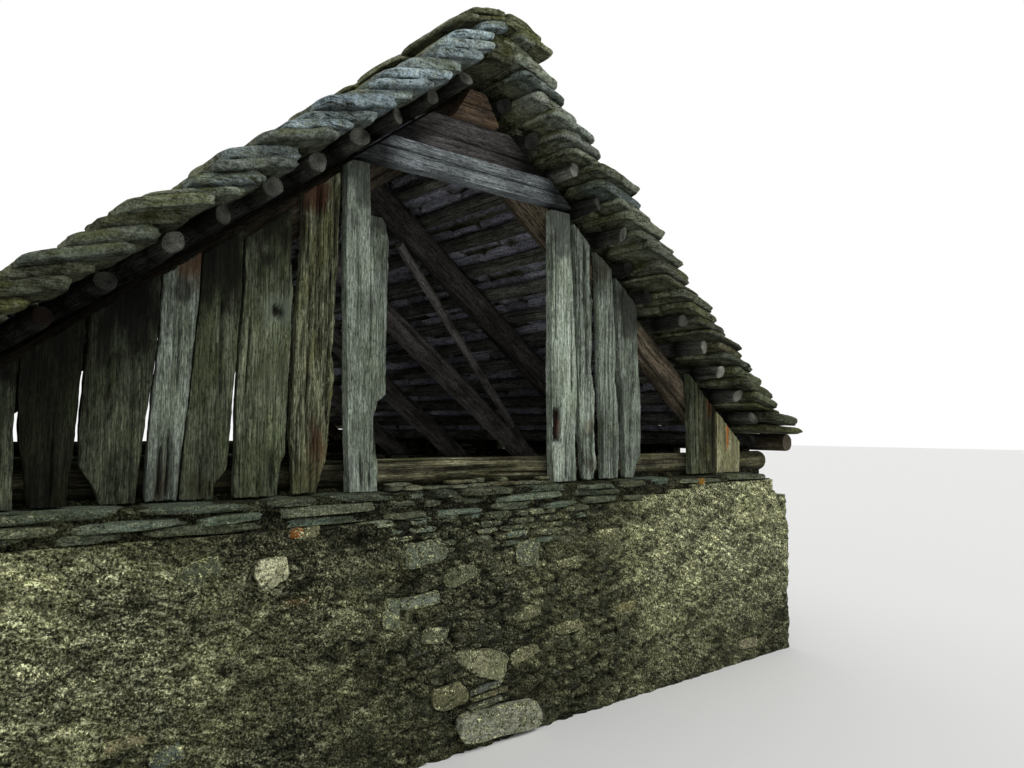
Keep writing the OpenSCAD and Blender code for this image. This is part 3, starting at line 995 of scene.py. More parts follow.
FRONT_BOARDS = (
    Board("post_left",
          ((1.301, -0.714), (1.414, -0.719), (1.522, -0.727), (1.735, -0.731), (2.058, -0.741),
           (2.494, -0.753), (2.824, -0.753)),
          ((1.307, -0.565), (1.412, -0.567), (1.498, -0.578), (1.651, -0.59), (1.738, -0.57),
           (1.958, -0.567), (2.179, -0.578), (2.332, -0.602), (2.506, -0.614), (2.836, -0.635)),
          SILVER, 0.02, 0.055, 0.0012, 0.004, 0.97,
          (Spot((-0.713, 1.838), (0.006, 0.012), BLACK, 1.0, 0.004),
           Spot((-0.66, 2.8), (0.12, 0.22), srgb(58, 62, 56), 0.75)),
          (Crack(-0.655, 1.3, 1.52), Crack(-0.612, 1.3, 1.44, 0.005), Crack(-0.58, 1.45, 1.7),
           Crack(-0.62, 1.9, 2.7, 0.004, 0.006), Crack(-0.69, 2.0, 2.6, 0.004, 0.005)),
          shade=0.2),
    Board("front_board_left_1",
          ((1.287, -0.984), (1.453, -0.993), (1.553, -1.005), (1.727, -1.002), (1.934, -0.995),
           (2.092, -0.989), (2.249, -0.978), (2.459, -0.966), (2.725, -0.967)),
          ((1.284, -0.88), (1.388, -0.857), (1.469, -0.829), (1.542, -0.826), (1.731, -0.81),
           (1.839, -0.796), (1.943, -0.81), (2.157, -0.796), (2.373, -0.787), (2.806, -0.785)),
          GROOVED, 0.04, 0.045, 0.007, 0.014, 1.12,
          (Spot((-0.92, 2.7), (0.09, 0.16), RED, 0.8), Spot((-0.88, 1.5), (0.05, 0.16), RED, 0.6),
           Spot((-0.9, 1.38), (0.1, 0.12), srgb(70, 70, 44), 0.6)),
          (Crack(-0.83, 1.6, 2.6, 0.006, 0.018), Crack(-0.88, 1.9, 2.75, 0.006, 0.018),
           Crack(-0.93, 1.5, 2.4, 0.006, 0.015), Crack(-0.8, 2.1, 2.75, 0.005, 0.014)),
          shade=0.35),
    Board("front_board_left_2",
          ((1.296, -1.255), (1.379, -1.257), (1.535, -1.251), (1.72, -1.253), (1.956, -1.244),
           (2.117, -1.233), (2.249, -1.225), (2.416, -1.234)),
          ((1.294, -1.068), (1.364, -1.064), (1.425, -1.055), (1.455, -1.051), (1.484, -1.033),
           (1.623, -1.03), (1.828, -1.025), (2.03, -1.016), (2.216, -1.013), (2.401, -1.025)),
          GREY, 0.09, 0.045, 0.002, 0.008, 0.98,
          (Spot((-1.086, 2.122), (0.075, 0.085), srgb(96, 104, 92), 0.7),
           Spot((-1.086, 2.122), (0.032, 0.042), BLACK, 1.0, 0.014),
           # Painted shadow: the dark patch at its head is the eave's shadow.
           Spot((-1.12, 2.6), (0.16, 0.34), srgb(26, 26, 20), 0.8),
           Spot((-1.1, 1.82), (0.1, 0.14), srgb(70, 76, 58), 0.5)),
          (Crack(-1.1, 1.3, 1.52), Crack(-1.16, 1.3, 1.42), Crack(-1.21, 1.6, 2.1, 0.005)),
          shade=0.6),
    Board("front_board_left_3",
          ((1.3, -1.48), (1.644, -1.456), (1.862, -1.438), (2.152, -1.417), (2.327, -1.412)),
          ((1.292, -1.341), (1.366, -1.343), (1.394, -1.315), (1.431, -1.29), (1.549, -1.28),
           (1.726, -1.273), (1.94, -1.26), (2.17, -1.246), (2.366, -1.244)),
          GREY, 0.05, 0.045, 0.0015, 0.012, 0.62,
          # Painted shadow: the dark patch at its head is the eave's shadow.
          (Spot((-1.34, 2.3), (0.14, 0.26), srgb(24, 24, 19), 0.8),
           Spot((-1.4, 1.34), (0.09, 0.09), srgb(60, 58, 40), 0.5)),
          (Crack(-1.4, 1.3, 1.5), Crack(-1.36, 1.3, 1.44, 0.005), Crack(-1.33, 1.7, 2.2)),
          shade=0.65),
    Board("front_board_left_4",
          ((1.279, -1.608), (1.541, -1.605), (1.752, -1.592), (1.946, -1.573), (2.188, -1.569)),
          ((1.304, -1.49), (1.643, -1.462), (1.859, -1.445), (2.145, -1.424), (2.339, -1.42)),
          SILVER, 0.035, 0.045, 0.002, 0.014, 0.68,
          (Spot((-1.45, 2.31), (0.09, 0.13), ORANGE, 0.75),
           Spot((-1.49, 2.16), (0.05, 0.07), srgb(30, 30, 24), 0.75),
           Spot((-1.55, 1.36), (0.04, 0.12), srgb(58, 44, 32), 0.7)),
          (Crack(-1.56, 1.3, 1.56, 0.008, 0.02), Crack(-1.53, 1.3, 1.62, 0.006, 0.02),
           Crack(-1.5, 1.75, 2.1, 0.004, 0.008)),
          shade=0.35),
    Board("front_board_left_5",
          ((1.261, -1.758), (1.32, -1.777), (1.378, -1.8), (1.451, -1.848), (1.55, -1.853),
           (1.826, -1.839), (1.916, -1.832)),
          ((1.258, -1.65), (1.316, -1.648), (1.542, -1.629), (1.74, -1.603), (1.94, -1.583),
           (2.163, -1.577)),
          GREY, 0.03, 0.045, 0.002, 0.008, 0.46,
          # Painted shadow: the dark patch at its head is the eave's shadow.
          (Spot((-1.7, 2.1), (0.16, 0.26), srgb(20, 20, 16), 0.85),
           Spot((-1.78, 1.95), (0.03, 0.16), srgb(26, 27, 20), 0.7)),
          (Crack(-1.72, 1.3, 1.5, 0.005), Crack(-1.76, 1.6, 1.95, 0.005)),
          shade=0.7),
    Board("front_board_left_6",
          ((1.277, -1.995), (1.329, -2.016), (1.412, -2.023), (1.496, -2.038), (1.555, -2.046),
           (1.77, -2.054)),
          ((1.273, -1.887), (1.325, -1.889), (1.495, -1.872), (1.553, -1.867), (1.822, -1.853),
           (1.91, -1.848)),
          SHADED, 0.03, 0.045, 0.002, 0.008, 0.8, (), (Crack(-1.94, 1.3, 1.6, 0.005),),
          shade=0.5),
    Board("front_board_left_7",
          ((1.3, -2.269), (1.84, -2.274)),
          ((1.352, -2.06), (1.552, -2.064), (1.659, -2.066), (1.823, -2.058)),
          # Painted shadow: the black patch at its head is the eave's shadow.
          GREY, 0.035, 0.045, 0.0015, 0.008, 0.74, (Spot((-2.15, 1.8), (0.2, 0.06), BLACK, 0.8),),
          shade=0.6),
    Board("front_board_left_8", ((1.3, -2.483), (1.6, -2.484)), ((1.3, -2.293), (1.6, -2.294)),
          SHADED, 0.03),
    Board("post_right",
          ((1.28, 0.603), (1.512, 0.589), (1.985, 0.584), (2.348, 0.584), (2.65, 0.583),
           (2.889, 0.574)),
          ((1.276, 0.782), (1.389, 0.781), (1.511, 0.771), (1.653, 0.771), (1.751, 0.787),
           (1.993, 0.78), (2.176, 0.77), (2.308, 0.758), (2.539, 0.744), (2.663, 0.731),
           (2.867, 0.724)),
          SILVER, 0.02, 0.055, 0.0012, 0.004, 1.4,
          (Spot((0.625, 1.628), (0.03, 0.1), srgb(22, 17, 15), 1.0, 0.03, True),
           Spot((0.648, 1.6), (0.014, 0.07), RED, 0.7),
           Spot((0.65, 2.8), (0.14, 0.2), srgb(66, 68, 66), 0.8)),
          (Crack(0.7, 1.3, 1.6, 0.005), Crack(0.61, 2.1, 2.8, 0.005), Crack(0.74, 1.8, 2.4)),
          shade=0.2),
    Board("front_board_right_1",
          ((1.264, 0.867), (1.39, 0.858), (1.63, 0.826), (1.753, 0.825), (2.185, 0.805),
           (2.554, 0.79), (2.859, 0.77)),
          ((1.263, 0.935), (1.335, 0.943), (1.384, 0.967), (1.471, 0.961), (1.631, 0.95),
           (1.755, 0.956), (1.88, 0.949), (1.939, 0.925), (2.147, 0.923), (2.379, 0.938),
           (2.502, 0.916), (2.852, 0.907)),
          SILVER, 0.03, 0.045, 0.006, 0.01, 1.16,
          (Spot((0.903, 1.391), (0.055, 0.06), srgb(62, 56, 46), 0.8, -0.012),
           Spot((0.9, 1.62), (0.05, 0.05), srgb(120, 112, 96), 0.5)),
          (Crack(0.88, 1.9, 2.5, 0.006, 0.016), Crack(0.86, 2.2, 2.7, 0.006, 0.014))),
    Board("front_board_right_2",
          ((1.294, 1.027), (1.631, 1.02), (1.884, 1.0), (2.443, 0.985), (2.833, 0.955)),
          ((1.279, 1.163), (1.508, 1.182), (1.76, 1.164), (1.913, 1.136), (2.041, 1.151),
           (2.145, 1.139), (2.348, 1.128), (2.654, 1.103), (2.732, 1.091), (2.78, 1.072)),
          SILVER, 0.03, 0.045, 0.003, 0.01, 1.0,
          (Spot((1.02, 2.62), (0.1, 0.14), srgb(74, 70, 58), 0.7),),
          (Crack(1.08, 1.7, 2.4, 0.006, 0.014), Crack(1.12, 1.3, 1.9, 0.006)),
          shade=0.25),
    Board("front_board_right_3",
          ((1.286, 1.232), (1.507, 1.225), (1.763, 1.205), (2.152, 1.17), (2.666, 1.13)),
          ((1.298, 1.306), (1.374, 1.326), (1.439, 1.367), (1.634, 1.378), (1.897, 1.369),
           (1.948, 1.36), (2.053, 1.349), (2.37, 1.34)),
          SILVER, 0.035, 0.045, 0.002, 0.01, 0.87,
          (Spot((1.25, 2.35), (0.16, 0.28), srgb(56, 56, 52), 0.75),),
          (Crack(1.27, 1.3, 1.7, 0.005), Crack(1.3, 1.8, 2.2, 0.005)),
          shade=0.35),
    Board("front_board_right_4", ((1.3, 1.9), (1.639, 1.895), (1.924, 1.888), (2.065, 1.88)),
          ((1.301, 1.99), (1.639, 1.988), (1.923, 1.985), (2.063, 1.98)),
          GREY, 0.03, 0.045, 0.003, 0.008, 0.95, (), (Crack(1.95, 1.4, 1.9, 0.006),),
          shade=0.35),
    Board("front_board_right_5", ((1.297, 2.003), (1.64, 2.0), (1.99, 1.995)),
          ((1.295, 2.19), (1.641, 2.197), (1.833, 2.199), (1.983, 2.2)),
          GROOVED, 0.03, 0.045, 0.005, 0.008, 0.88,
          (Spot((2.12, 1.77), (0.04, 0.1), srgb(120, 84, 46), 0.8),
           Spot((2.16, 1.7), (0.03, 0.5), srgb(26, 23, 18), 0.6)),
          (Crack(2.06, 1.35, 1.95, 0.008, 0.02), Crack(2.12, 1.5, 1.9, 0.008, 0.02)),
          shade=0.3),
    Board("front_board_right_6", ((1.291, 2.206), (1.829, 2.214)),
          ((1.287, 2.475), (1.719, 2.493)),
          TAN, 0.03, 0.045, 0.0015, 0.008, 1.42,
          (Spot((2.33, 1.56), (0.024, 0.1), srgb(180, 98, 40), 0.8),
           Spot((2.3, 1.72), (0.05, 0.06), srgb(132, 128, 112), 0.5)),
          (Crack(2.3, 1.35, 1.7, 0.006, 0.01),)),
)


@dataclass
class Gable:
    """The boards, posts and head timbers of both gables."""

    back_open: float = 1.25
    back_width: float = 0.205
    back_gap: float = 0.022
    back_count: int = 6

    def build(self) -> None:
        """Model and dress every board."""
        for number, board in enumerate(FRONT_BOARDS):
            dress(board.build(11 + number), board.finish, board.node)
        self.backing()
        self.head_timbers()
        for side, node in ((1, "back_boards_left"), (-1, "back_boards_right")):
            self.back(side, node)

    def backing(self) -> None:
        """Model the plank behind the left post, broken off below."""
        plank = Board("post_left_backing",
                      ((1.451, -0.68), (2.65, -0.684)),
                      ((1.451, -0.575), (1.72, -0.57), (1.745, -0.52), (1.77, -0.496),
                       (2.54, -0.492), (2.62, -0.51), (2.65, -0.53)),
                      SILVER, thick=0.04, foot=1.4506, head=2.65, back=-2.9947, tone=0.61,
                      spots=(Spot((-0.53, 2.62), (0.1, 0.07), srgb(50, 52, 48), 0.7),))
        dress(plank.build(71), plank.finish, plank.node)

    def head_timbers(self) -> None:
        """Model the lintel, the board over it and the block under the apex."""
        inset = 0.015
        sizes = (
            ("lintel", BARN.lintel_foot, 0.14, 0.09, BLUED, 0.85, 0.0012),
            ("collar_board", 3.0456, 0.205, 0.045, BROWN, 1.1, 0.0015),
        )
        for index, (node, foot, high, thick, finish, tone, groove) in enumerate(sizes):
            low_half = (BARN.apex - foot) / BARN.slope - inset
            top_half = (BARN.apex - foot - high) / BARN.slope - inset
            self.beam(node, foot, high, low_half, top_half, thick, finish, tone, groove, 80 + index)
        self.beam("apex_block", 3.2509, 0.165, 0.15, 0.05, 0.09, RUST, 1.3, 0.003, 84)

    def beam(self, node: str, foot: float, high: float, low_half: float, top_half: float,
             thick: float, finish: Wood, tone: float, groove: float, seed: int) -> None:
        """Model a timber that lies across the gable, as a board turned on its side.

        Args:
            node: the solid that it stands for.
            foot: height of its lower face.
            high: its height.
            low_half: half its length at the foot.
            top_half: half its length at the top.
            thick: its thickness.
            finish: its wood.
            tone: how light it is.
            groove: depth of its grooves.
            seed: sets its own grain.
        """
        obj = blank(round(low_half / 0.007), round(high / 0.006), 2)
        noise = Field(seed)
        s, t, w = points_of(obj).T
        t, front = t + 0.5, w > 0.75
        x = 2 * s * (low_half + t * (top_half - low_half))
        flat = np.stack([x, w * 0.05, t * high], axis=1)
        worn = 0.004 * noise.rough(flat, (0.25, 1, 9), 3)
        z = foot + np.clip(t * high + worn * np.where(t > 0.5, -1, 1) * np.abs(2 * t - 1) ** 8,
                           0, high)
        ridge = 1 - np.abs(noise.rough(flat, (0.6, 1, 0.012), 2))
        sunk = groove * 1.4 * (1 - ridge**3) + 0.005 * ease(np.abs(2 * t - 1), 0.8, 1)
        away = t * high - 0.45 * high - 0.02 * noise.at(flat, (0.5, 1, 9))
        split = np.exp(-((away / 0.005) ** 2))
        sunk += 0.012 * split
        depth = np.where(front, thick - sunk, np.where(w > 0.25, thick / 2, 0.0))
        put_points(obj, np.stack([x, BARN.board_back - depth, z], axis=1))
        # Painted shade: the lintel and the board over it darken towards both ends, under the roof.
        painted_end_shade = 0.85 if low_half > 0.3 else 0.0
        # Painted shade in the split and the grooves.
        hollow = np.clip(0.7 * split + ease(ridge, 0.6, 0.2) * 0.4, 0, 1)
        mark(obj, grain=np.stack([t * high + seed, depth, x + seed], axis=1),
             tone=tone * (1 - painted_end_shade * ease(np.abs(x), low_half - 0.3, low_half - 0.12)),
             hollow=hollow * front, cut=0.0, stain=0.0)
        face_out(obj)
        smooth(obj, 60)
        obj.name = node + "_worn"
        dress(obj, finish, node)

    def back(self, side: int, node: str) -> None:
        """Model the upright boards of one half of the back gable.

        Args:
            side: 1 for the boards that lie right when they are drawn on the front.
            node: the solids that they stand for.
        """
        parts = []
        for index in range(self.back_count):
            inner = self.back_open + index * (self.back_width + self.back_gap)
            edges = sorted((side * inner, side * (inner + self.back_width)))
            board = Board(node, ((1.3, edges[0]), (2.4, edges[0])), ((1.3, edges[1]),
                          (2.4, edges[1])), GREY, 0.03, cell=(0.012, 0.03), turned=True,
                          tone=0.85 + 0.06 * (index % 4))
            parts.append(board.build(90 + 10 * side + index))
        dress(join(node + "_worn", parts), GREY, node)


# Logs and poles


@dataclass
class Log:
    """A round timber that stands on its end along +Z until it is placed.

    Attributes:
        radius: its greatest radius.
        length: its length.
        sides: facets round it.
        steps: rings along it.
        rough: depth of its unevenness.
        cracks: angle, twist, lowest and highest share of the length, and depth of each split.
        tone: how light it is.
    """

    radius: float
    length: float
    sides: int = 18
    steps: int = 26
    rough: float = 0.05
    cracks: tuple[tuple[float, float, float, float, float], ...] = ()
    tone: float = 1.0

    def build(self, seed: int, place: Matrix = Matrix()) -> Piece:
        """Loft the log ring by ring from its foot.

        Args:
            seed: sets its shape and grain.
            place: moves it to its place.

        Returns:
            The log.
        """
        rims, bevel = (0.3, 0.62, 0.86, 0.965), 0.012
        rings = np.linspace(bevel, self.length - bevel, self.steps) / self.length
        stations = [(rim, 0.0) for rim in rims] + [(1.0, up) for up in rings]
        stations += [(rim, 1.0) for rim in reversed(rims)]
        bpy.ops.mesh.primitive_circle_add(vertices=self.sides, radius=rims[0], fill_type="NGON")
        obj = bpy.context.object
        with editing(obj):
            for (old, low), (new, high) in zip(stations, stations[1:]):
                shift = (0, 0, (high - low) * self.length)
                bpy.ops.mesh.extrude_region_move(TRANSFORM_OT_translate={"value": shift})
                bpy.ops.transform.resize(value=(new / old, new / old, 1))
            bpy.ops.mesh.normals_make_consistent(inside=False)
        noise = Field(seed)
        points = points_of(obj)
        across = np.hypot(points[:, 0], points[:, 1])
        angle = np.arctan2(points[:, 1], points[:, 0])
        share = points[:, 2] / self.length
        round_trip = np.stack([np.cos(angle) * 0.5, np.sin(angle) * 0.5, points[:, 2]], axis=1)
        lumps = 1 - self.rough * (0.9 + noise.rough(round_trip, (0.5, 0.5, 0.55), 3))
        sunk = np.zeros(len(points))
        for start, twist, low, high, depth in self.cracks:
            line = start + twist * share + 0.15 * noise.at(round_trip, (9, 9, 0.4))
            away = (angle - line + pi) % (2 * pi) - pi
            inside = ease(share, low, low + 0.05) * ease(-share, -high, -high + 0.08)
            sunk = np.maximum(sunk, np.exp(-((away * self.radius / 0.007) ** 2)) * inside * depth)
        scale = self.radius * lumps - sunk * ease(across, 0.8, 0.95)
        end = (across < 0.97).astype(float)
        dish = 0.004 * noise.rough(points * 8, 1.0, 2) * end
        points[:, :2] *= scale[:, None]
        points[:, 2] += np.where(share < 0.5, 1, -1) * np.abs(dish)
        put_points(obj, points)
        # Painted shade in the cracks.
        mark(obj, grain=points + np.array([0, 0, 5.3 * seed]), tone=self.tone,
             hollow=np.clip(sunk / 0.01, 0, 1), cut=end, stain=0.0)
        smooth(obj, 55)
        obj.data.transform(place)
        return obj


def along(start: Triple, end: Triple, turn: float = 0.0) -> Matrix:
    """Find the placing of a log that runs from one point to another.

    Args:
        start: place of its foot.
        end: a point that it runs to.
        turn: how far it is turned round its own axis.

    Returns:
        The matrix that moves it there.
    """
    way = (Vector(end) - Vector(start)).to_track_quat("Z", "Y").to_matrix().to_4x4()
    return Matrix.Translation(start) @ way @ Matrix.Rotation(turn, 4, "Z")


def slice_off(obj: Piece, point: Triple, normal: Triple) -> None:
    """Cut a piece through a plane, drop what lies past it and close the cut."""
    with editing(obj):
        bpy.ops.mesh.bisect(plane_co=point, plane_no=normal, use_fill=True, clear_outer=True)


@dataclass
class Frame:
    """The logs of the frame: sill logs, eave logs, rafters and wind brace.

    Attributes:
        eave_half: half the length of an eave log.
        far: a place past the end of every level log, to which it points.
        pairs: number of rafter pairs.
        over: how much longer than the slope a rafter is before it is cut.
        brace_down: how far below the apex the brace starts, down the slope.
        brace_run: how far back the brace's foot stands from its head.
        brace_over: how much longer the brace is before its foot is cut.
    """

    sill_y: float = 2.9597
    sill_z: float = 1.3753
    sill_radius: float = 0.075
    sill_half: float = 2.9
    eave_half: float = 3.22
    far: float = 9
    rafter_radius: float = 0.1
    rafter_y: float = 2.9347
    pairs: int = 6
    over: float = 0.35
    brace_radius: float = 0.035
    brace_down: float = 0.65
    brace_run: float = 0.86
    brace_over: float = 0.14

    def build(self) -> None:
        """Model and dress all the logs."""
        splits = ((1.9, 0.5, 0.2, 0.62, 0.016), (-2.6, -1.4, 0.45, 0.6, 0.018),
                  (2.7, 1.2, 0.5, 0.7, 0.012), (-2.2, 0.6, 0.6, 0.95, 0.014))
        for side, node in ((-1, "sill_log_front"), (1, "sill_log_back")):
            log = Log(self.sill_radius, 2 * self.sill_half, 64, 150, 0.03, splits)
            y, z = side * self.sill_y, self.sill_z
            obj = log.build(31 + side, along((-self.sill_half, y, z), (self.far, y, z)))
            points = points_of(obj)
            # Darker left of the doorway and streaked; the underside gets painted shade.
            light = 0.25 + 0.75 * ease(points[:, 0], -0.75, -0.5)
            streak = np.clip(1 + 0.75 * Field(33).rough(points, (0.4, 0.03, 0.018), 3), 0.2, 2)
            light *= 1.05 * streak
            mark(obj, tone=light * (1 - 0.6 * ease(-points[:, 2], -1.37, -1.32)))
            self.finish(obj, SILL, node)
        for side, node in ((-1, "eave_log_left"), (1, "eave_log_right")):
            log = Log(BARN.eave_log_radius, 2 * self.eave_half, 22, 40, 0.04, tone=0.7)
            x, z = side * BARN.eave_log_x, BARN.eave_log_z
            obj = log.build(36 + side, along((x, -self.eave_half, z), (x, self.far, z)))
            self.finish(obj, LOGS, node)
        for index in range(self.pairs):
            self.rafters(index)
        self.brace()

    def finish(self, obj: Piece, finish: Wood, node: str) -> None:
        """Name a log after its solid and dress it."""
        obj.name = node + "_round"
        dress(obj, finish, node)

    def rafters(self, index: int) -> None:
        """Model one pair of rafters, cut upright at the apex and level at the feet.

        Args:
            index: number of the pair, from the front.
        """
        y = -self.rafter_y + index * 2 * self.rafter_y / (self.pairs - 1)
        gable = index in (0, self.pairs - 1)
        foot_z = BARN.wall_top + (2 * self.sill_radius if gable else 0) + 2 * BARN.seat
        parts = []
        for side in (-1, 1):
            log = Log(self.rafter_radius, BARN.slope_length + self.over, 28, 40, 0.035,
                      ((0.4, 0.5, 0.1, 0.8, 0.012), (3.4, -0.4, 0.2, 0.9, 0.012)),
                      tone=self.tone(index, side))
            head, foot = (BARN.on_slope(down, -self.rafter_radius) for down in (-0.2, 3.0))
            obj = log.build(40 + 2 * index + side,
                            along((side * head[0], y, head[1]), (side * foot[0], y, foot[1]),
                                  0.7 * index + side))
            slice_off(obj, (side * BARN.seat, y, 0), (-side, 0, 0))
            slice_off(obj, (0, y, foot_z), (0, 0, -1))
            parts.append(obj)
        obj = join(f"rafter_pair_{index + 1}_round", parts)
        dress(obj, LOGS if gable else LIT_INNER, f"rafter_pair_{index + 1}")

    def tone(self, index: int, side: int) -> float:
        """Give how light a rafter is: the front pair's left one and the second pair are painted
        dark as shade, and those from the third on are painted light.
        """
        if index == 0:
            return 0.35 if side < 0 else 1.1
        return 0.45 if index == 1 else 1.9

    def brace(self) -> None:
        """Model the thin pole under the right slope."""
        off = -(2 * self.rafter_radius + BARN.seat + self.brace_radius)
        y = -self.rafter_y + 2 * self.rafter_y / (self.pairs - 1)
        foot_down = (BARN.apex + off * cos(BARN.pitch) - BARN.wall_top) / sin(BARN.pitch)
        head, foot = BARN.on_slope(self.brace_down, off), BARN.on_slope(foot_down, off)
        start = Vector((head[0], y, head[1]))
        end = Vector((foot[0], y + self.brace_run, foot[1]))
        # Painted light: the brace is made lighter, as lit inside.
        log = Log(self.brace_radius, (end - start).length + self.brace_over, 16, 26, tone=1.5)
        obj = log.build(58, along(tuple(start), tuple(end)))
        slice_off(obj, (0, y, BARN.wall_top + BARN.seat), (0, 0, -1))
        self.finish(obj, LIT_INNER, "wind_brace")


@dataclass
class RoofPoles:
    """The round poles that carry the slabs.

    Attributes:
        kinds: number of shapes.
        shorten: most that an end stops short of its place.
        recess: how far an end is set back where the gable's front shows none.
        shown_right: numbers of the poles whose front ends show on the right slope, from the top.
        shown_left: the same on the left slope.
        shaded_ends: numbers of the left slope's poles whose ends are painted dark, as shade under
            the verge slabs.
        ruddy: number and side of the pole whose end is rust brown.
        slant: steepest that a front end is hewn, to the side and upwards.
        wear: most that a front end's rim is worn in.
    """

    kinds: int = 5
    shorten: float = 0.03
    recess: float = 0.14
    shown_right: tuple[int, ...] = (2, 3, 4, 7, 8, 9, 10, 11)
    shown_left: tuple[int, ...] = (0, 1, 2, 3, 4, 5, 6, 7)
    shaded_ends: tuple[int, ...] = (1, 6)
    ruddy: tuple[int, int] = (9, -1)
    slant: float = 0.45
    wear: float = 0.3

    def build(self) -> None:
        """Model a few poles, copy them to both slopes and dress them."""
        rng, axe = default_rng(61), default_rng(68)
        length = 2 * BARN.pole_end
        splits = ((0.5, 0.2, 0.0, 0.9, 0.008), (3.6, 0.3, 0.05, 1.0, 0.008))
        stock = [Log(BARN.pole_radius, length, 22, 34, 0.11, splits).build(62 + kind)
                 for kind in range(self.kinds)]
        for side, node in ((-1, "roof_poles_left"), (1, "roof_poles_right")):
            parts = []
            shown = self.shown_right if side > 0 else self.shown_left
            for index in range(BARN.pole_gaps + 1):
                x, z = BARN.on_slope(BARN.pole_down(index), BARN.pole_radius + BARN.seat)
                back = BARN.pole_end - rng.uniform(0, self.shorten)
                front = BARN.pole_end - rng.uniform(0, self.shorten)
                if index not in shown:
                    front -= self.recess
                model = stock[(index + 2 * (side > 0)) % self.kinds]
                place = along((side * x, -front, z), (side * x, Frame.far, z),
                              rng.uniform(0, 6.28))
                twin = copy_of(model, place @ Matrix.Diagonal((1, 1, (front + back) / length, 1)))
                # Painted shade: the ends set back, and some of the left slope's ends, are darkened;
                # the sides are nearly black at the gable.
                end = 0.2
                if index in shown and side > 0:
                    end = 1.5 * rng.uniform(0.5, 1.2)
                elif index in shown:
                    end = 0.3 if index in self.shaded_ends else 0.7
                self.shade(twin, rng.uniform(0.7, 1.1), end, 0.12 if side < 0 else 0.05)
                if (index, side) == self.ruddy:
                    cut = points_of(twin)[:, 1] < -front + 0.01
                    mark(twin, stain=cut[:, None] * np.array([*srgb(74, 44, 24)[:3], 0.6]))
                self.hew(twin, axe.uniform(-self.slant, self.slant, 2))
                parts.append(twin)
            dress(join(node + "_round", parts), POLES, node)
        for model in stock:
            bpy.data.objects.remove(model)

    def hew(self, pole: Piece, slant: Array) -> None:
        """Slant and wear a pole's front end, as an axe and the weather leave it.

        Args:
            pole: the placed pole.
            slant: how steeply its end runs to the side and upwards.
        """
        points = points_of(pole)
        front = points[:, 1].min()
        near = ease(-points[:, 1], -front - 0.1, -front - 0.02)
        off = points - points[near > 0].mean(axis=0)
        points[:, 1] += near * (off[:, 0] * slant[0] + off[:, 2] * slant[1])
        worn = near * self.wear * (0.5 + 0.5 * Field(69).at(points, 0.045))
        points[:, 0] -= off[:, 0] * worn
        points[:, 2] -= off[:, 2] * worn
        put_points(pole, points)

    def shade(self, pole: Piece, tone: float, end: float, bark_light_and_shade: float) -> None:
        """Darken a pole under the verge slabs, soiled there and in painted shade, and lighten it
        inside as painted light.

        Args:
            pole: the placed pole.
            tone: how light it is.
            end: how light its ends are.
            bark_light_and_shade: how light its sides are at the gable, kept low there as painted
                shade under the verge slabs.
        """
        points = points_of(pole)
        away = points[:, 1]
        # Painted light: the sides are made much lighter inside the barn.
        bark_light_and_shade = bark_light_and_shade + 2.0 * ease(-np.abs(away), BARN.board_back + 0.05, BARN.board_back + 0.25)
        cut = ease(-away, -away.min() - 0.015, -away.min() - 0.01)
        end = end * np.clip(1 + 0.8 * Field(67).rough(points, 0.05, 2), 0.25, 1.8)
        mark(pole, tone=tone * (bark_light_and_shade + cut * (end - bark_light_and_shade)))


# Stones


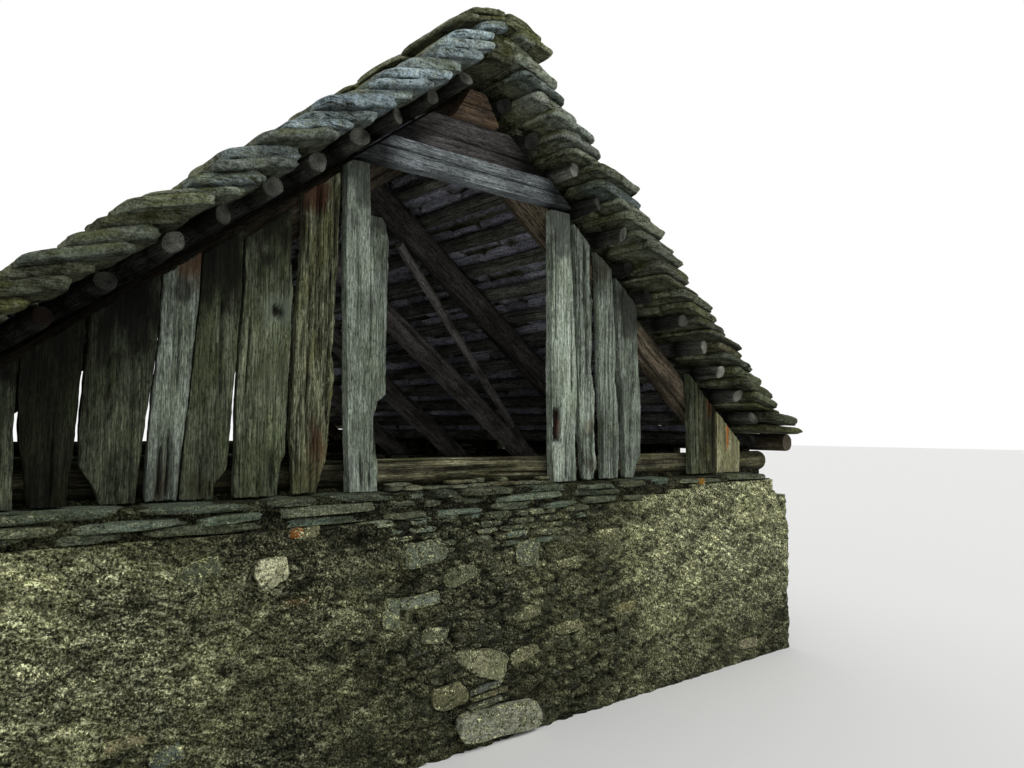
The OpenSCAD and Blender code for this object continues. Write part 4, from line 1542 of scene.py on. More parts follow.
@dataclass
class StoneStock:
    """Split stones of a few shapes, each modelled once in a unit box and copied from there.

    Attributes:
        cells: faces along x, along y and through the thickness.
        kinds: number of shapes.
        chips: number of flats broken off round it.
        chip: nearest that a flat comes to the middle, where 1 leaves the box whole.
        lift: steepest that a flat leans, in radians.
        ledge: how far the layers of its edge stand out past each other.
        lens: how much it thins towards its rim.
        edge: how far its rim draws in at the top and bottom.
        corner: power that rounds its outline, where 2 is an ellipse.
        tip: how much its top falls towards +x.
        wild: how uneven its surface is.
        seed: sets the shapes.
        joint: how much painted shade darkens its edge where stones lie over and under it.
    """

    cells: tuple[int, int, int] = (5, 4, 2)
    kinds: int = 8
    chips: int = 8
    chip: float = 0.78
    lift: float = 0.3
    ledge: float = 0.04
    lens: float = 0.2
    wild: float = 0.03
    seed: int = 100
    edge: float = 0.02
    tip: float = 0.0
    corner: float = 12
    joint: float = 0.0
    models: list[Piece] = field(default_factory=list)

    def fill(self) -> "StoneStock":
        """Model every shape."""
        self.models = [self.model(self.seed + kind) for kind in range(self.kinds)]
        return self

    def model(self, seed: int) -> Piece:
        """Model one stone.

        Args:
            seed: sets its shape.

        Returns:
            The stone, one unit long, wide and thick, its foot on z = 0.
        """
        layers = self.cells[2]
        obj = blank(*self.cells)
        face_out(obj)
        rng, noise = default_rng(seed), Field(seed)
        points = points_of(obj)
        rim = 2 * np.abs(points[:, :2]).max(axis=1)
        level = rng.uniform(-1, 1, layers + 1)[np.round(points[:, 2] * layers).astype(int)]
        points[:, 2] -= 0.5
        oval = (np.abs(2 * points[:, :2]) ** self.corner).sum(axis=1) ** (1 / self.corner)
        points[:, :2] *= (rim / np.maximum(oval, 1e-6))[:, None]
        draw = 1 - self.edge * rim**2 * (2 * points[:, 2]) ** 2
        points[:, :2] *= (draw + self.ledge * level * rim**3)[:, None]
        for turn in range(self.chips):
            angle = (turn + rng.uniform(-0.35, 0.35)) * 2 * pi / self.chips
            lean = rng.uniform(-self.lift, self.lift)
            way = np.array([cos(angle) * cos(lean), sin(angle) * cos(lean), sin(lean)])
            reach = np.abs(way).sum() / 2 * rng.uniform(self.chip, 1.0)
            over = np.maximum(points @ way - reach, 0)
            points -= 0.85 * over[:, None] * way
        points[:, 2] *= 1 - self.lens * rim**4
        fall = self.tip * ease(points[:, 0], 0.05, 0.5)
        points[:, 2] = -0.5 + (points[:, 2] + 0.5) * (1 - fall)
        for axis in range(3):
            bumps = noise.rough(points * (1, 1, 0.4) + 3.1 * axis, 0.28, 3)
            points[:, axis] += self.wild * (2 if axis == 2 else 1) * bumps
        low, high = points.min(axis=0), points.max(axis=0)
        points = (points - low) / (high - low) - np.array([0.5, 0.5, 0])
        put_points(obj, points)
        # Painted shade at the lower rim, and less at the upper, where stones meet.
        joint = ease(-points[:, 2], -0.22, 0.0) + 0.4 * ease(points[:, 2], 0.85, 1.0)
        mark(obj, hollow=self.joint * joint * ease(rim, 0.8, 1.0), tone=1.0, stain=0.0)
        smooth(obj, 32)
        return obj

    def lay(self, kind: int, place: Matrix, size: Triple, tone: float,
            colour: Optional[Colour] = None) -> Piece:
        """Copy a stone to its place.

        Args:
            kind: which shape.
            place: where its foot's middle goes.
            size: its length, width and thickness.
            tone: how light it is.
            colour: a colour of its own, or None.

        Returns:
            The copy.
        """
        twin = copy_of(self.models[kind % self.kinds], place @ Matrix.Diagonal((*size, 1)))
        mark(twin, tone=tone)
        if colour is not None:
            mark(twin, stain=np.tile(np.array(colour), (len(twin.data.vertices), 1)))
        return twin

    def clear(self) -> None:
        """Remove the models, which aren't pieces."""
        for model in self.models:
            bpy.data.objects.remove(model)
        self.models = []


def row(rng: Generator, start: float, end: float, lengths: Pair, rest: float = -1,
        slack: float = 0.0) -> Iterator[Pair]:
    """Divide a row into stones, and draw each one's length when its turn comes.

    Args:
        rng: draws the lengths.
        start: where the row starts.
        end: where it ends.
        lengths: least and greatest length of a stone.
        rest: what is left is added to a stone where it is shorter than this.
        slack: nearest to the end that a stone starts.

    Yields:
        Where a stone starts, and its length.
    """
    at = start
    while at < end - slack:
        long = rng.uniform(*lengths)
        if end - at - long < rest:
            long = end - at
        yield at, long
        at += long


HUES = (srgb(96, 104, 82), srgb(120, 122, 74), srgb(84, 88, 72), srgb(110, 102, 74),
        srgb(104, 114, 100))
# Blue-grey of lichen, and of the sky light painted on the upper verge slabs.
LICHEN_AND_SKYLIGHT = srgb(140, 158, 168)


@dataclass
class SlabRoof:
    """The lapped stone slabs of both slopes, and the slabs that close the ridge.

    Attributes:
        tail: how far a slab runs up past its pole.
        tail_between: the same in a course that lies between two poles.
        uneven: most that a course at a verge is off its line.
        lit_inside_reach: how far from the middle the slabs' inner side stays out of the rain, pale,
            and painted lighter as the light inside the roof.
        fillings: number of stones in the joint under the ridge slabs.
        stagger: nearest that a joint comes to one of the two courses below.
        least: shortest that a slab gets by that.
        moves: ways in which a joint is moved.
        across: least and greatest width of a slab.
        overlap: how much thicker than its course a slab at a verge is.
    """

    tail: float = 0.06
    tail_between: float = 0.03
    ridge_thick: float = 0.035
    ridge_width: float = 0.3
    uneven: float = 0.013
    lit_inside_reach: float = 2.75
    fillings: int = 14
    stagger: float = 0.08
    least: float = 0.18
    moves: tuple[float, ...] = (0.0, 0.05, -0.05, 0.09, -0.09)
    across: Pair = (0.28, 0.5)
    overlap: float = 0.009

    def build(self) -> None:
        """Lay, join and dress the slabs."""
        verge = StoneStock((16, 9, 6), 12, chips=6, chip=0.88, lift=0.12, lens=0.04, seed=200,
                           edge=0.1, tip=0.06, corner=7, joint=1.0).fill()
        behind = replace(verge, cells=(10, 6, 4)).fill()
        plain = StoneStock((5, 3, 2), 10, chips=7, chip=0.85, lift=0.2, ledge=0.03, lens=0.1,
                           seed=230, edge=0.04, tip=0.3).fill()
        for side, node in ((1, "roof_slabs_right"), (-1, "roof_slabs_left")):
            rng = default_rng(300 + side)
            shifts = rng.uniform(-self.uneven, self.uneven, (BARN.courses + 1, 2))
            shifts[0] = shifts[-1] = 0
            parts, joints = [], [[], []]
            for course in range(BARN.courses):
                parts += self.course(course, side, rng, shifts, (verge, behind, plain), joints)
            dress(join(node + "_laid", parts), STONE, node)
        self.ridge(verge, behind)
        for stock in (verge, behind, plain):
            stock.clear()

    def staggered(self, joint: float, first: float, joints: list[list[float]]) -> float:
        """Move a joint off those of the two courses below, where it lies close to one.

        Args:
            joint: its place as drawn.
            first: place of the joint before it.
            joints: places of the joints of each course below.

        Returns:
            Its new place.
        """
        below = np.array(joints[-1] + joints[-2] + [-BARN.slab_end, BARN.slab_end])
        tries = [joint + move for move in self.moves if joint + move > first + self.least]
        gaps = [np.abs(below - place).min() for place in tries]
        return joint if gaps[0] > self.stagger else tries[int(np.argmax(gaps))]

    def bed(self, course: int, side: int) -> tuple[float, float, Matrix]:
        """Find where a course lies.

        Args:
            course: its number, from the eave up.
            side: 1 for the right slope and -1 for the left.

        Returns:
            x and z of its bed above the middle of the right slope's pole, and its placing.
        """
        down = BARN.pole_down(BARN.pole_gaps) - course * BARN.pole_step / 2
        x, z = BARN.on_slope(down, BARN.pole_radius + BARN.seat)
        turn = Matrix.Rotation(0 if side > 0 else pi, 4, "Z")
        tilt = Matrix.Rotation(BARN.course_tilt(course), 4, "Y")
        return x, z, turn @ Matrix.Translation((x, 0, z)) @ tilt

    def course(self, course: int, side: int, rng: Generator, shifts: Array,
               stocks: tuple[StoneStock, StoneStock, StoneStock],
               joints: list[list[float]]) -> list[Piece]:
        """Lay one course from verge to verge.

        Args:
            course: its number, from the eave up.
            side: 1 for the right slope and -1 for the left.
            rng: draws the sizes.
            shifts: how far the bed of each course is off its line, at the front and the back.
            stocks: stones for the front end, for the back end and for the rest.
            joints: places of the joints of each course so far, to which its own are added.

        Returns:
            The slabs.
        """
        x, _, base = self.bed(course, side)
        even, level = course % 2 == 0, cos(BARN.course_tilt(course))
        reach = BARN.slab_reach + BARN.slab_rag * sin(radians(101 * course))
        end = BARN.slab_end + BARN.slab_rag * sin(radians(137 * course))
        if course == 0:
            reach, end = BARN.eave_reach, BARN.eave_end
        # Painted light and shade: verge slabs darker at the eave and lighter towards the ridge,
        # most on the left slope.
        tail = self.tail if even else self.tail_between
        ridge_painted_light = 1.25 if side > 0 else 1.8
        height = float(np.interp(course, (0, 6, 18, 27), (0.54, 0.56, 0.9, ridge_painted_light)))
        past = -0.03 if even == (side > 0) else 0.035
        slabs, own, first = [], [], -end
        for at, width in row(rng, -end, end, self.across, rest=0.26, slack=0.02):
            ends = (at <= -end + 0.01, at + width >= end - 0.01)
            last = end if ends[1] else self.staggered(at + width, first, joints)
            own.append(last)
            seen = any(ends)
            start = max(-tail - (rng.uniform(0.02, 0.06) if seen else 0), (past - x) / level)
            far = reach / level - rng.uniform(0, 0.05 if seen else 0.03)
            low = BARN.pole_radius + BARN.seat
            thick = BARN.slab_thick * rng.uniform(1.0, 1.2)
            column = 2
            if seen:
                column = int(ends[1]) if side > 0 else int(ends[0])
                low += shifts[course, column]
                thick = (BARN.slab_thick + shifts[course + 1, column] - shifts[course, column]
                         + self.overlap)
            back = [rng.uniform(0, 0.05) if at_end else 0 for at_end in ends]
            span = last - first - 0.008 - sum(back)
            middle = ((start + far) / 2, first + 0.004 + back[0] + span / 2, low)
            slab = stocks[column].lay(rng.integers(99), base @ Matrix.Translation(middle),
                                      (far - start, span, thick), 1.0)
            points = points_of(slab)
            verge_side = ease(np.abs(points[:, 1]), end - 0.26, end - 0.1)
            tone = rng.uniform(0.7, 1.3) if seen else rng.uniform(0.8, 1.2)
            if seen:
                hue = HUES[rng.integers(len(HUES))]
                # Painted light: towards the ridge the verge slabs take the blue of lichen and sky
                # light.
                high = ease(np.array(float(course)), 5, 20) * (0.45 if side > 0 else 1)
                hue = np.array(hue) * (1 - high) + np.array(LICHEN_AND_SKYLIGHT) * high
                stain = np.tile(hue, (len(points), 1))
                stain[:, 3] = rng.uniform(0.3, 0.9) * verge_side
                mark(slab, stain=stain)
            tone *= 1 + (height - 1) * verge_side
            # Painted light: the inner side gets a tone up to 2.3, as the light inside the roof.
            inner = (np.abs(points[:, 0]) < x + 0.05) & (np.abs(points[:, 1]) < self.lit_inside_reach)
            mark(slab, cut=inner.astype(float),
                 tone=np.where(inner, rng.uniform(0.8, 2.3), tone))
            slabs.append(slab)
            first = last
        joints.append(own[:-1])
        return slabs

    def ridge(self, verge: StoneStock, rest: StoneStock) -> None:
        """Close the ridge with two layers of slabs on each side.

        Args:
            verge: stones for the two ends.
            rest: stones for the rest.
        """
        rng = default_rng(310)
        off = BARN.pole_radius + BARN.slab_thick + 2 * BARN.seat
        end, level = BARN.slab_end, cos(BARN.slab_tilt)
        parts = []
        for side, layer in product((1, -1), (0, 1)):
            x, z, base = self.bed(BARN.courses - 1, side)
            start = (-0.05 - x) / level
            far = (self.ridge_width * (1 if layer == 0 else 0.7) - x) / level
            for at, width in row(rng, -end, end, (0.3, 0.55), rest=0.3, slack=0.02):
                middle = ((start + far) / 2, at + width / 2, off + layer * self.ridge_thick)
                stock = verge if at == -end or at + width > end - 0.001 else rest
                # Painted light: the ridge slabs are made lighter, as lit at the top of the roof.
                slab = stock.lay(rng.integers(99), base @ Matrix.Translation(middle),
                                 (far - start, width - 0.006, self.ridge_thick),
                                 rng.uniform(1.1, 1.5))
                mark(slab, cut=0.0)
                parts.append(slab)
        parts += self.ridge_filling(rest, z)
        dress(join("ridge_slabs_laid", parts), STONE, "ridge_slabs")

    def ridge_filling(self, stock: StoneStock, z: float) -> list[Piece]:
        """Fill the joint between the two slopes under the ridge slabs, from end to end.

        Args:
            stock: stones to lay.
            z: height of the highest course's bed.

        Returns:
            The stones.
        """
        rng, inset = default_rng(320), 0.06
        long = 2 * (BARN.slab_end - inset) / self.fillings
        stones = []
        for index in range(self.fillings):
            y = -BARN.slab_end + inset + (index + 0.5) * long
            size = (rng.uniform(0.16, 0.2), long + 0.02, 0.16)
            stone = stock.lay(index, Matrix.Translation((0, y, z - 0.12)), size, 0.6)
            mark(stone, cut=0.0)
            stones.append(stone)
        return stones


# Masonry


@dataclass(frozen=True)
class Face:
    """A face of a wall that shows: its axis, place and outward sign."""

    axis: int
    at: float
    sign: int


@dataclass
class Wall:
    """One rubble wall: its block, the flat courses on it and stones that stand out.

    Attributes:
        node: the solid that it stands for.
        low: lowest corner of the block.
        high: highest corner of the block.
        faces: the faces that show and get relief, the inner one last.
        cuts: how finely the outer faces are divided.
        bare: x or y at the middle of the bare patch, and its half width.
        cell: size of the block's faces before they are divided.
    """

    node: str
    low: Triple
    high: Triple
    faces: tuple[Face, ...]
    cuts: int = 2
    bare: Pair = (0.2, 0.9)
    cell: float = 0.06

    @property
    def run(self) -> int:
        """Axis along which the wall runs."""
        return int(self.high[0] - self.low[0] < self.high[1] - self.low[1])

    def block(self) -> Piece:
        """Model the block with even cells, finer where it shows.

        Returns:
            The block.
        """
        size = [h - l for l, h in zip(self.low, self.high)]
        obj = blank(*(round(size[axis] / self.cell) for axis in (self.run, 2, 1 - self.run)))
        u, v, w = points_of(obj).T
        share = np.stack([u + 0.5, w, v + 0.5] if self.run == 0 else [w, u + 0.5, v + 0.5], axis=1)
        put_points(obj, np.array(self.low) + share * np.array(size))
        middles = triples(obj.data.polygons, "center")
        shown = np.zeros(len(middles), dtype=bool)
        for face in self.faces[:-1]:
            shown |= np.abs(middles[:, face.axis] - face.at) < 1e-4
        with editing(obj, shown):
            bpy.ops.mesh.subdivide(number_cuts=self.cuts)
        return obj

    def bareness(self, points: Array, noise: Field) -> Array:
        """Find how far the render has fallen off.

        Args:
            points: points of the wall.
            noise: makes the patch's edge uneven.

        Returns:
            A number from 0 to 1 for each point.
        """
        away = np.abs(points[:, self.run] - self.bare[0]) / self.bare[1]
        edge = noise.rough(points, (0.5, 0.5, 0.35), 3)
        return 1 - ease(away + 0.4 * edge, 0.55, 1.1)

    def build(self) -> Piece:
        """Model the block with its relief.

        Returns:
            The block, not dressed yet.
        """
        obj = self.block()
        noise, coarse = Field(401), Field(402)
        points = points_of(obj)
        bare = self.bareness(points, noise)
        warp = points + 0.018 * np.stack([noise.rough(points + s, 0.12, 2) for s in (0, 5, 9)],
                                         axis=1)
        gap, name = coarse.cells(warp, (0.105, 0.105, 0.058))
        joint = ease(gap, 0.04, 0.3)
        wide_gap, wide_name = coarse.cells(warp + 3, (0.27, 0.27, 0.12))
        big = ease(wide_name, 0.66, 0.74) * ease(wide_gap, 0.06, 0.3)
        tilt = points[:, 2:] * 0.35
        slant = points + np.concatenate([tilt, tilt, -0.3 * points[:, :1] - 0.3 * points[:, 1:2]],
                                        axis=1)
        streak = noise.rough(slant, (0.16, 0.16, 0.035), 3)
        lumps = noise.rough(points, (0.06, 0.06, 0.045), 3)
        grain = 0.0035 * noise.at(points + 2, (0.026, 0.026, 0.02))
        swell = 0.016 * noise.rough(points, (0.9, 0.9, 0.6), 2)
        stone = joint * (0.01 + 0.016 * name) - 0.014
        plain = 0.008 * streak + 0.005 * lumps
        out = swell + plain + grain + (0.2 + 0.8 * bare) * stone + 0.01 * big * bare
        if self.node == "wall_front":
            for boulder in BOULDERS:
                bed = boulder.bed(points)
                out = out * (1 - bed) - 0.014 * bed
        inner = self.faces[-1]
        for face in self.faces:
            on = np.abs(points[:, face.axis] - face.at) < 1e-4
            strength = 0.6 if face is inner else 1.0
            points[on, face.axis] += face.sign * strength * out[on]
        self.wear(points, noise)
        put_points(obj, points)
        palette = np.array([srgb(92, 97, 76), srgb(112, 114, 88), srgb(76, 82, 66),
                            srgb(98, 94, 70), srgb(86, 92, 78), srgb(122, 124, 100)])
        stain = palette[(name * 5.999).astype(int)].copy()
        large = palette[(wide_name * 29.99).astype(int) % 6] * 1.15
        stain = np.where((big * bare > 0.4)[:, None], large, stain)
        stain[:, 3] = (0.1 + 0.7 * bare) * np.maximum(joint * ease(name, 0.5, 0.7), big)
        # Painted shade: pits and the joints between stones are darkened.
        pit = ease(-(plain + grain), -0.002, 0.008)
        hollow = 0.75 * pit + (0.1 + 0.35 * bare) * (1 - joint) * (1 - 0.7 * big)
        mark(obj, stain=stain, hollow=np.clip(hollow, 0, 1), tone=self.tone(points, bare, noise),
             cut=0.0)
        face_out(obj)
        smooth(obj, 180)
        return obj

    def tone(self, points: Array, bare: Array, noise: Field) -> Array:
        """Find how light the masonry is: darker where bare, at the foot and under the top.

        Args:
            points: points of the wall.
            bare: how far the render has fallen off at each.
            noise: makes it cloudy.

        Returns:
            The tone of each point.
        """
        under = ease(points[:, 2], 0.95, 1.16)
        foot = ease(-points[:, 2], -0.75, -0.15) * (1 + 1.3 * ease(points[:, 0], 1, 2))
        cloud = noise.rough(points + 4, (0.55, 0.55, 0.4), 3)
        slant = points + np.outer(0.35 * points[:, self.run], (0, 0, 1))
        patch = noise.rough(slant + 9, (0.22, 0.22, 0.06), 4)
        side = np.interp(points[:, self.run], (-2.3, -1.8, -1.1, 0.9, 1.6),
                         (1.45, 1.06, 0.6, 0.74, 1.42))
        if self.run == 1:
            side = np.ones(len(points))
        return ((1 - 0.2 * bare) * (1 - 0.5 * under * (side < 1)) * (1 - 0.3 * foot)
                * (1 + 0.15 * cloud) * (1 + 0.3 * patch) * side)

    def wear(self, points: Array, noise: Field) -> None:
        """Round off the outer corners of the walls, and the broken front right one.

        Args:
            points: points of the wall, which are moved.
            noise: makes the corners uneven.
        """
        rim = 0.05
        inset = (np.array([BARN.half_width, BARN.half_length]) - np.abs(points[:, :2])).max(axis=1)
        near = inset < rim
        pull = (rim - inset) * (0.35 + 0.15 * noise.at(points, 0.2))
        for axis in (0, 1):
            points[near, axis] -= np.sign(points[near, axis]) * pull[near]
        broken = ((points[:, 0] > 2.76) & (points[:, 1] < -2.86) & (points[:, 2] > 1.1)
                  & (points[:, 2] > self.high[2] - 0.07))
        points[broken, 2] -= 0.04 * ease(points[broken, 0], 2.74, 2.8)


@dataclass(frozen=True)
class Boulder:
    """A stone that stands out of the front face.

    Attributes:
        place: x and z of its middle.
        size: its width, height and how far it stands out.
        turn: how far it is turned on the face, in degrees.
        colour: its colour.
    """

    place: Pair
    size: Triple
    turn: float = 0.0
    colour: Colour = srgb(104, 110, 92)

    def bed(self, points: Array) -> Array:
        """Find how far the face lies under the stone.

        Args:
            points: points of the wall.

        Returns:
            A number from 0 to 1 for each.
        """
        x, z = points[:, 0] - self.place[0], points[:, 2] - self.place[1]
        turn = radians(self.turn)
        along_it = x * cos(turn) - z * sin(turn)
        up_it = x * sin(turn) + z * cos(turn)
        rim = np.maximum(np.abs(along_it) * 2 / self.size[0], np.abs(up_it) * 2 / self.size[1])
        return 1 - ease(rim, 0.8, 1.25)


PALE_STONE = srgb(132, 132, 104)
GREEN_STONE = srgb(98, 106, 88)
GREY_STONE = srgb(86, 92, 84)

BOULDERS = (
    Boulder((-1.137, 0.994), (0.15, 0.135, 0.022), 12, srgb(184, 184, 150)),
    Boulder((-1.419, 1.035), (0.2, 0.09, 0.008), 14, srgb(74, 80, 64)),
    Boulder((-1.03, 1.146), (0.075, 0.05, 0.012), 4, srgb(132, 82, 34)),
    Boulder((-0.96, 1.146), (0.085, 0.052, 0.01), 8, srgb(112, 110, 82)),
    Boulder((-1.687, 0.431), (0.16, 0.05, 0.008), 6, srgb(128, 120, 92)),
    Boulder((-1.022, 0.859), (0.165, 0.042, 0.01), 8, srgb(84, 70, 46)),
    Boulder((-0.546, 0.739), (0.1, 0.15, 0.01), 0, GREEN_STONE),
    Boulder((-1.543, 0.349), (0.13, 0.09, 0.008), 16, srgb(80, 90, 80)),
    Boulder((-0.357, 1.002), (0.24, 0.12, 0.02), 8, GREEN_STONE),
    Boulder((-0.377, 0.776), (0.25, 0.07, 0.016), 6, srgb(104, 112, 98)),
    Boulder((-0.148, 0.871), (0.22, 0.1, 0.014), 10, srgb(92, 96, 74)),
    Boulder((0.312, 0.938), (0.19, 0.14, 0.014), 0, srgb(94, 100, 84)),
    Boulder((-0.007, 0.42), (0.34, 0.15, 0.022), -20, PALE_STONE),
    Boulder((0.287, 0.412), (0.21, 0.075, 0.012), 8, srgb(110, 108, 82)),
    Boulder((-0.205, 0.292), (0.22, 0.12, 0.022), 6, srgb(100, 98, 72)),
    Boulder((0.03, 0.29), (0.22, 0.035, 0.02), 4, GREY_STONE),
    Boulder((0.05, 0.25), (0.25, 0.03, 0.014), 2, srgb(96, 92, 70)),
    Boulder((0.02, 0.212), (0.22, 0.03, 0.022), 5, GREY_STONE),
    Boulder((0.118, 0.105), (0.55, 0.16, 0.045), -4, srgb(138, 140, 122)),
    Boulder((2.381, 0.116), (0.26, 0.075, 0.014), 0, srgb(118, 112, 94)),
    Boulder((0.62, 0.86), (0.2, 0.05, 0.012), 6, srgb(104, 104, 78)),
    Boulder((0.95, 0.99), (0.18, 0.06, 0.012), 0, srgb(100, 98, 74)),
    Boulder((0.3, 0.62), (0.2, 0.08, 0.012), 12, srgb(96, 96, 72)),
    Boulder((-0.3, 0.6), (0.16, 0.08, 0.012), -8, srgb(88, 92, 72)),
    Boulder((0.62, 0.5), (0.22, 0.07, 0.01), 4, srgb(104, 100, 76)),
    Boulder((1.1, 0.55), (0.2, 0.06, 0.008), 4, srgb(102, 96, 66)),
    Boulder((1.854, 1.262), (0.06, 0.04, 0.012), 0, srgb(146, 104, 30)),
)


@dataclass
class Masonry:
    """The four walls with their flat top courses and the stones under the eaves.

    Attributes:
        proud: how far the flat courses stand out past the render.
        layers: number of flat courses.
        rendered: x at which the render starts to climb over them.
        eave_deep: depth of the stones under an eave log.
        eave_half: half the length of their row.
        vent: length and height of a slot between them.
        bay: distance between two rafter pairs.
        thin_foot: height at which the thin courses in the front face start.
    """

    proud: float = 0.018
    layers: int = 3
    rendered: float = 1.25
    eave_deep: float = 0.115
    eave_half: float = 2.87
    vent: Pair = (0.3, 0.05)
    bay: float = 2 * Frame.rafter_y / (Frame.pairs - 1)
    thin_foot: float = 0.985

    def build(self) -> None:
        """Model and dress all the walls."""
        w, l, t, h = BARN.half_width, BARN.half_length, BARN.wall, BARN.rubble_top
        walls = (
            Wall("wall_front", (-w, -l, 0), (w, -l + t, h),
                 (Face(1, -l, -1), Face(0, -w, -1), Face(0, w, 1), Face(1, -l + t, 1)),
                 cuts=4, bare=(0.1, 0.95)),
            Wall("wall_back", (-w, l - t, 0), (w, l, h),
                 (Face(1, l, 1), Face(0, -w, -1), Face(0, w, 1), Face(1, l - t, -1)),
                 bare=(-0.8, 0.8)),
            Wall("wall_left", (-w, -l + t, 0), (-w + t, l - t, h),
                 (Face(0, -w, -1), Face(0, -w + t, 1)), bare=(0.6, 0.8)),
            Wall("wall_right", (w - t, -l + t, 0), (w, l - t, h),
                 (Face(0, w, 1), Face(0, w - t, -1)), bare=(-0.5, 0.8)),
        )
        flat = StoneStock((11, 5, 4), 16, chips=9, chip=0.74, lift=0.4, ledge=0.06, lens=0.28,
                          wild=0.05, seed=420, edge=0.05, corner=4, joint=1.0).fill()
        plain = replace(flat, cells=(7, 4, 3)).fill()
        lump = StoneStock((8, 7, 5), 10, chips=5, chip=0.52, lift=0.2, ledge=0.0, lens=0.2,
                          wild=0.035, seed=440, corner=10).fill()
        for wall in walls:
            stock = flat if wall.node == "wall_front" else plain
            parts = [wall.build()] + self.caps(wall, stock, plain) + self.cores(wall)
            if wall.node in ("wall_left", "wall_right"):
                parts += self.eave_stones(wall, stock)
            if wall.node == "wall_front":
                parts += self.boulders(lump) + self.thin_courses(flat) + self.sill_rubble(flat)
            dress(join(wall.node + "_rubble", parts), RENDER, wall.node)
        for stock in (flat, plain, lump):
            stock.clear()

    def tone_of(self, rng: Generator, base: Colour = srgb(86, 96, 82)) -> Colour:
        """Draw the colour of a flat stone.

        Args:
            rng: draws it.
            base: the colour that it varies.

        Returns:
            The colour.
        """
        light = rng.uniform(0.6, 2.0)
        warm = rng.uniform(-0.08, 0.12)
        return (base[0] * light * (1 + warm), base[1] * light, base[2] * light * (1 - warm), 1.0)

    def core(self, low: Triple, high: Triple, tone: float = 0.15) -> Piece:
        """Make the mortar that fills the middle of the flat courses; at its low default tone it is
        painted dark, as shade in the gaps between the stones.

        Args:
            low: its lowest corner.
            high: its highest corner.
            tone: how light it is.

        Returns:
            The mortar.
        """
        size = [h - l for l, h in zip(low, high)]
        bpy.ops.mesh.primitive_cube_add(size=1)
        obj = bpy.context.object
        obj.data.transform(Matrix.Translation([l + s / 2 for l, s in zip(low, size)])
                           @ Matrix.Diagonal((*size, 1)))
        with editing(obj):
            bpy.ops.mesh.bevel(offset=0.004, segments=2)
        mark(obj, tone=tone, hollow=0.0, cut=0.0, stain=0.0)
        return obj

    def cores(self, wall: Wall) -> list[Piece]:
        """Fill the middle of the top courses, so that no light comes through them.

        Args:
            wall: the wall that carries them.

        Returns:
            The fillings, and the render that climbs over the front wall's courses.
        """
        inset, top = 0.035, BARN.wall_top - 0.008
        low = [wall.low[0] + inset, wall.low[1] + inset, BARN.rubble_top - 0.02]
        high = [wall.high[0] - inset, wall.high[1] - inset, top]
        if wall.run == 1:
            low[1], high[1] = wall.low[1] - 0.1, wall.high[1] + 0.1
            return [self.core(tuple(low), tuple(high))]
        middle = copysign(Frame.sill_y, wall.low[1])
        bed = self.core((-2.85, middle - 0.045, BARN.wall_top - 0.03),
                        (2.85, middle + 0.045, BARN.wall_top + 0.018))
        if wall.node == "wall_back":
            return [bed, self.core(tuple(low), tuple(high))]
        face = -BARN.half_length + 0.004
        steps = (self.rendered, self.rendered + 0.25, self.rendered + 0.5, 2.72)
        plaster = [self.core((start, face + 0.002 * step, low[2]),
                             (end + 0.01, high[1], BARN.rubble_top + 0.03 + 0.025 * step), 1.25)
                   for step, (start, end) in enumerate(zip(steps, steps[1:]))]
        return plaster + [bed,
                          self.core(tuple(low), (2.58, high[1], top)),
                          self.core((2.58, low[1], low[2]), (2.74, high[1], top - 0.04)),
                          self.core((2.58, -2.85, low[2]), tuple(high))]

    def caps(self, wall: Wall, stock: StoneStock, plain: StoneStock) -> list[Piece]:
        """Lay the flat courses on a wall, an outer and an inner row each.

        Args:
            wall: the wall they lie on.
            stock: stones for the outer row.
            plain: stones for the inner row.

        Returns:
            The stones.
        """
        rng = default_rng(len(wall.node) * 7 + 430)
        wave = Field(431)
        run, across = wall.run, 1 - wall.run
        outer, inner = wall.faces[0], wall.faces[-1]
        start, end = wall.low[run], wall.high[run]
        if run == 0:
            start, end = start - self.proud, end + self.proud
        step = (BARN.wall_top - BARN.rubble_top) / self.layers
        stones = []
        for layer, face in product(range(self.layers), (outer, inner)):
            for at, long in row(rng, start - rng.uniform(0, 0.1), end, (0.14, 0.58), slack=0.03):
                first, last = max(at, start), min(at + long, end)
                if last - first < 0.06:
                    continue
                deep = rng.uniform(0.28, 0.36)
                edge = face.at + face.sign * (self.proud * rng.uniform(-1.0, 1.3) * (face is outer))
                middle = edge - face.sign * deep / 2
                spot = [0.0, 0.0, 0.0]
                spot[across], spot[run] = middle, (first + last) / 2
                rise = float(wave.at(np.array([[spot[0], spot[1], layer * 0.7]]), 0.8)[0])
                spot[2] = BARN.rubble_top + layer * step + 0.012 * rise * (0 < layer)
                thick = min(step * rng.uniform(0.85, 1.4), BARN.wall_top - spot[2])
                if self.fallen(wall, spot, layer):
                    continue
                turn = (Matrix.Rotation(0 if run == 0 else pi / 2, 4, "Z")
                        @ Matrix.Rotation(rng.uniform(-0.05, 0.05), 4, "Z")
                        @ Matrix.Rotation(rng.uniform(-0.03, 0.03), 4, "Y"))
                laid = stock if face is outer else plain
                stones.append(laid.lay(rng.integers(99), Matrix.Translation(spot) @ turn,
                                       (last - first - 0.004, deep, thick),
                                       rng.uniform(0.7, 1.05), self.tone_of(rng)))
        return stones

    def fallen(self, wall: Wall, spot: Sequence[float], layer: int) -> bool:
        """Tell whether a stone is missing: under the render, or fallen from the right corner.

        Args:
            wall: the wall it would lie on.
            spot: where it would lie.
            layer: number of its course, from the lowest.

        Returns:
            Whether it is left out.
        """
        if wall.node != "wall_front" or spot[1] > -2.8:
            return False
        if layer < self.layers - 1 and spot[0] > self.rendered + 0.2 * (self.layers - 2 - layer):
            return True
        return (layer == self.layers - 1 and spot[0] > 2.6) or spot[0] > 2.8

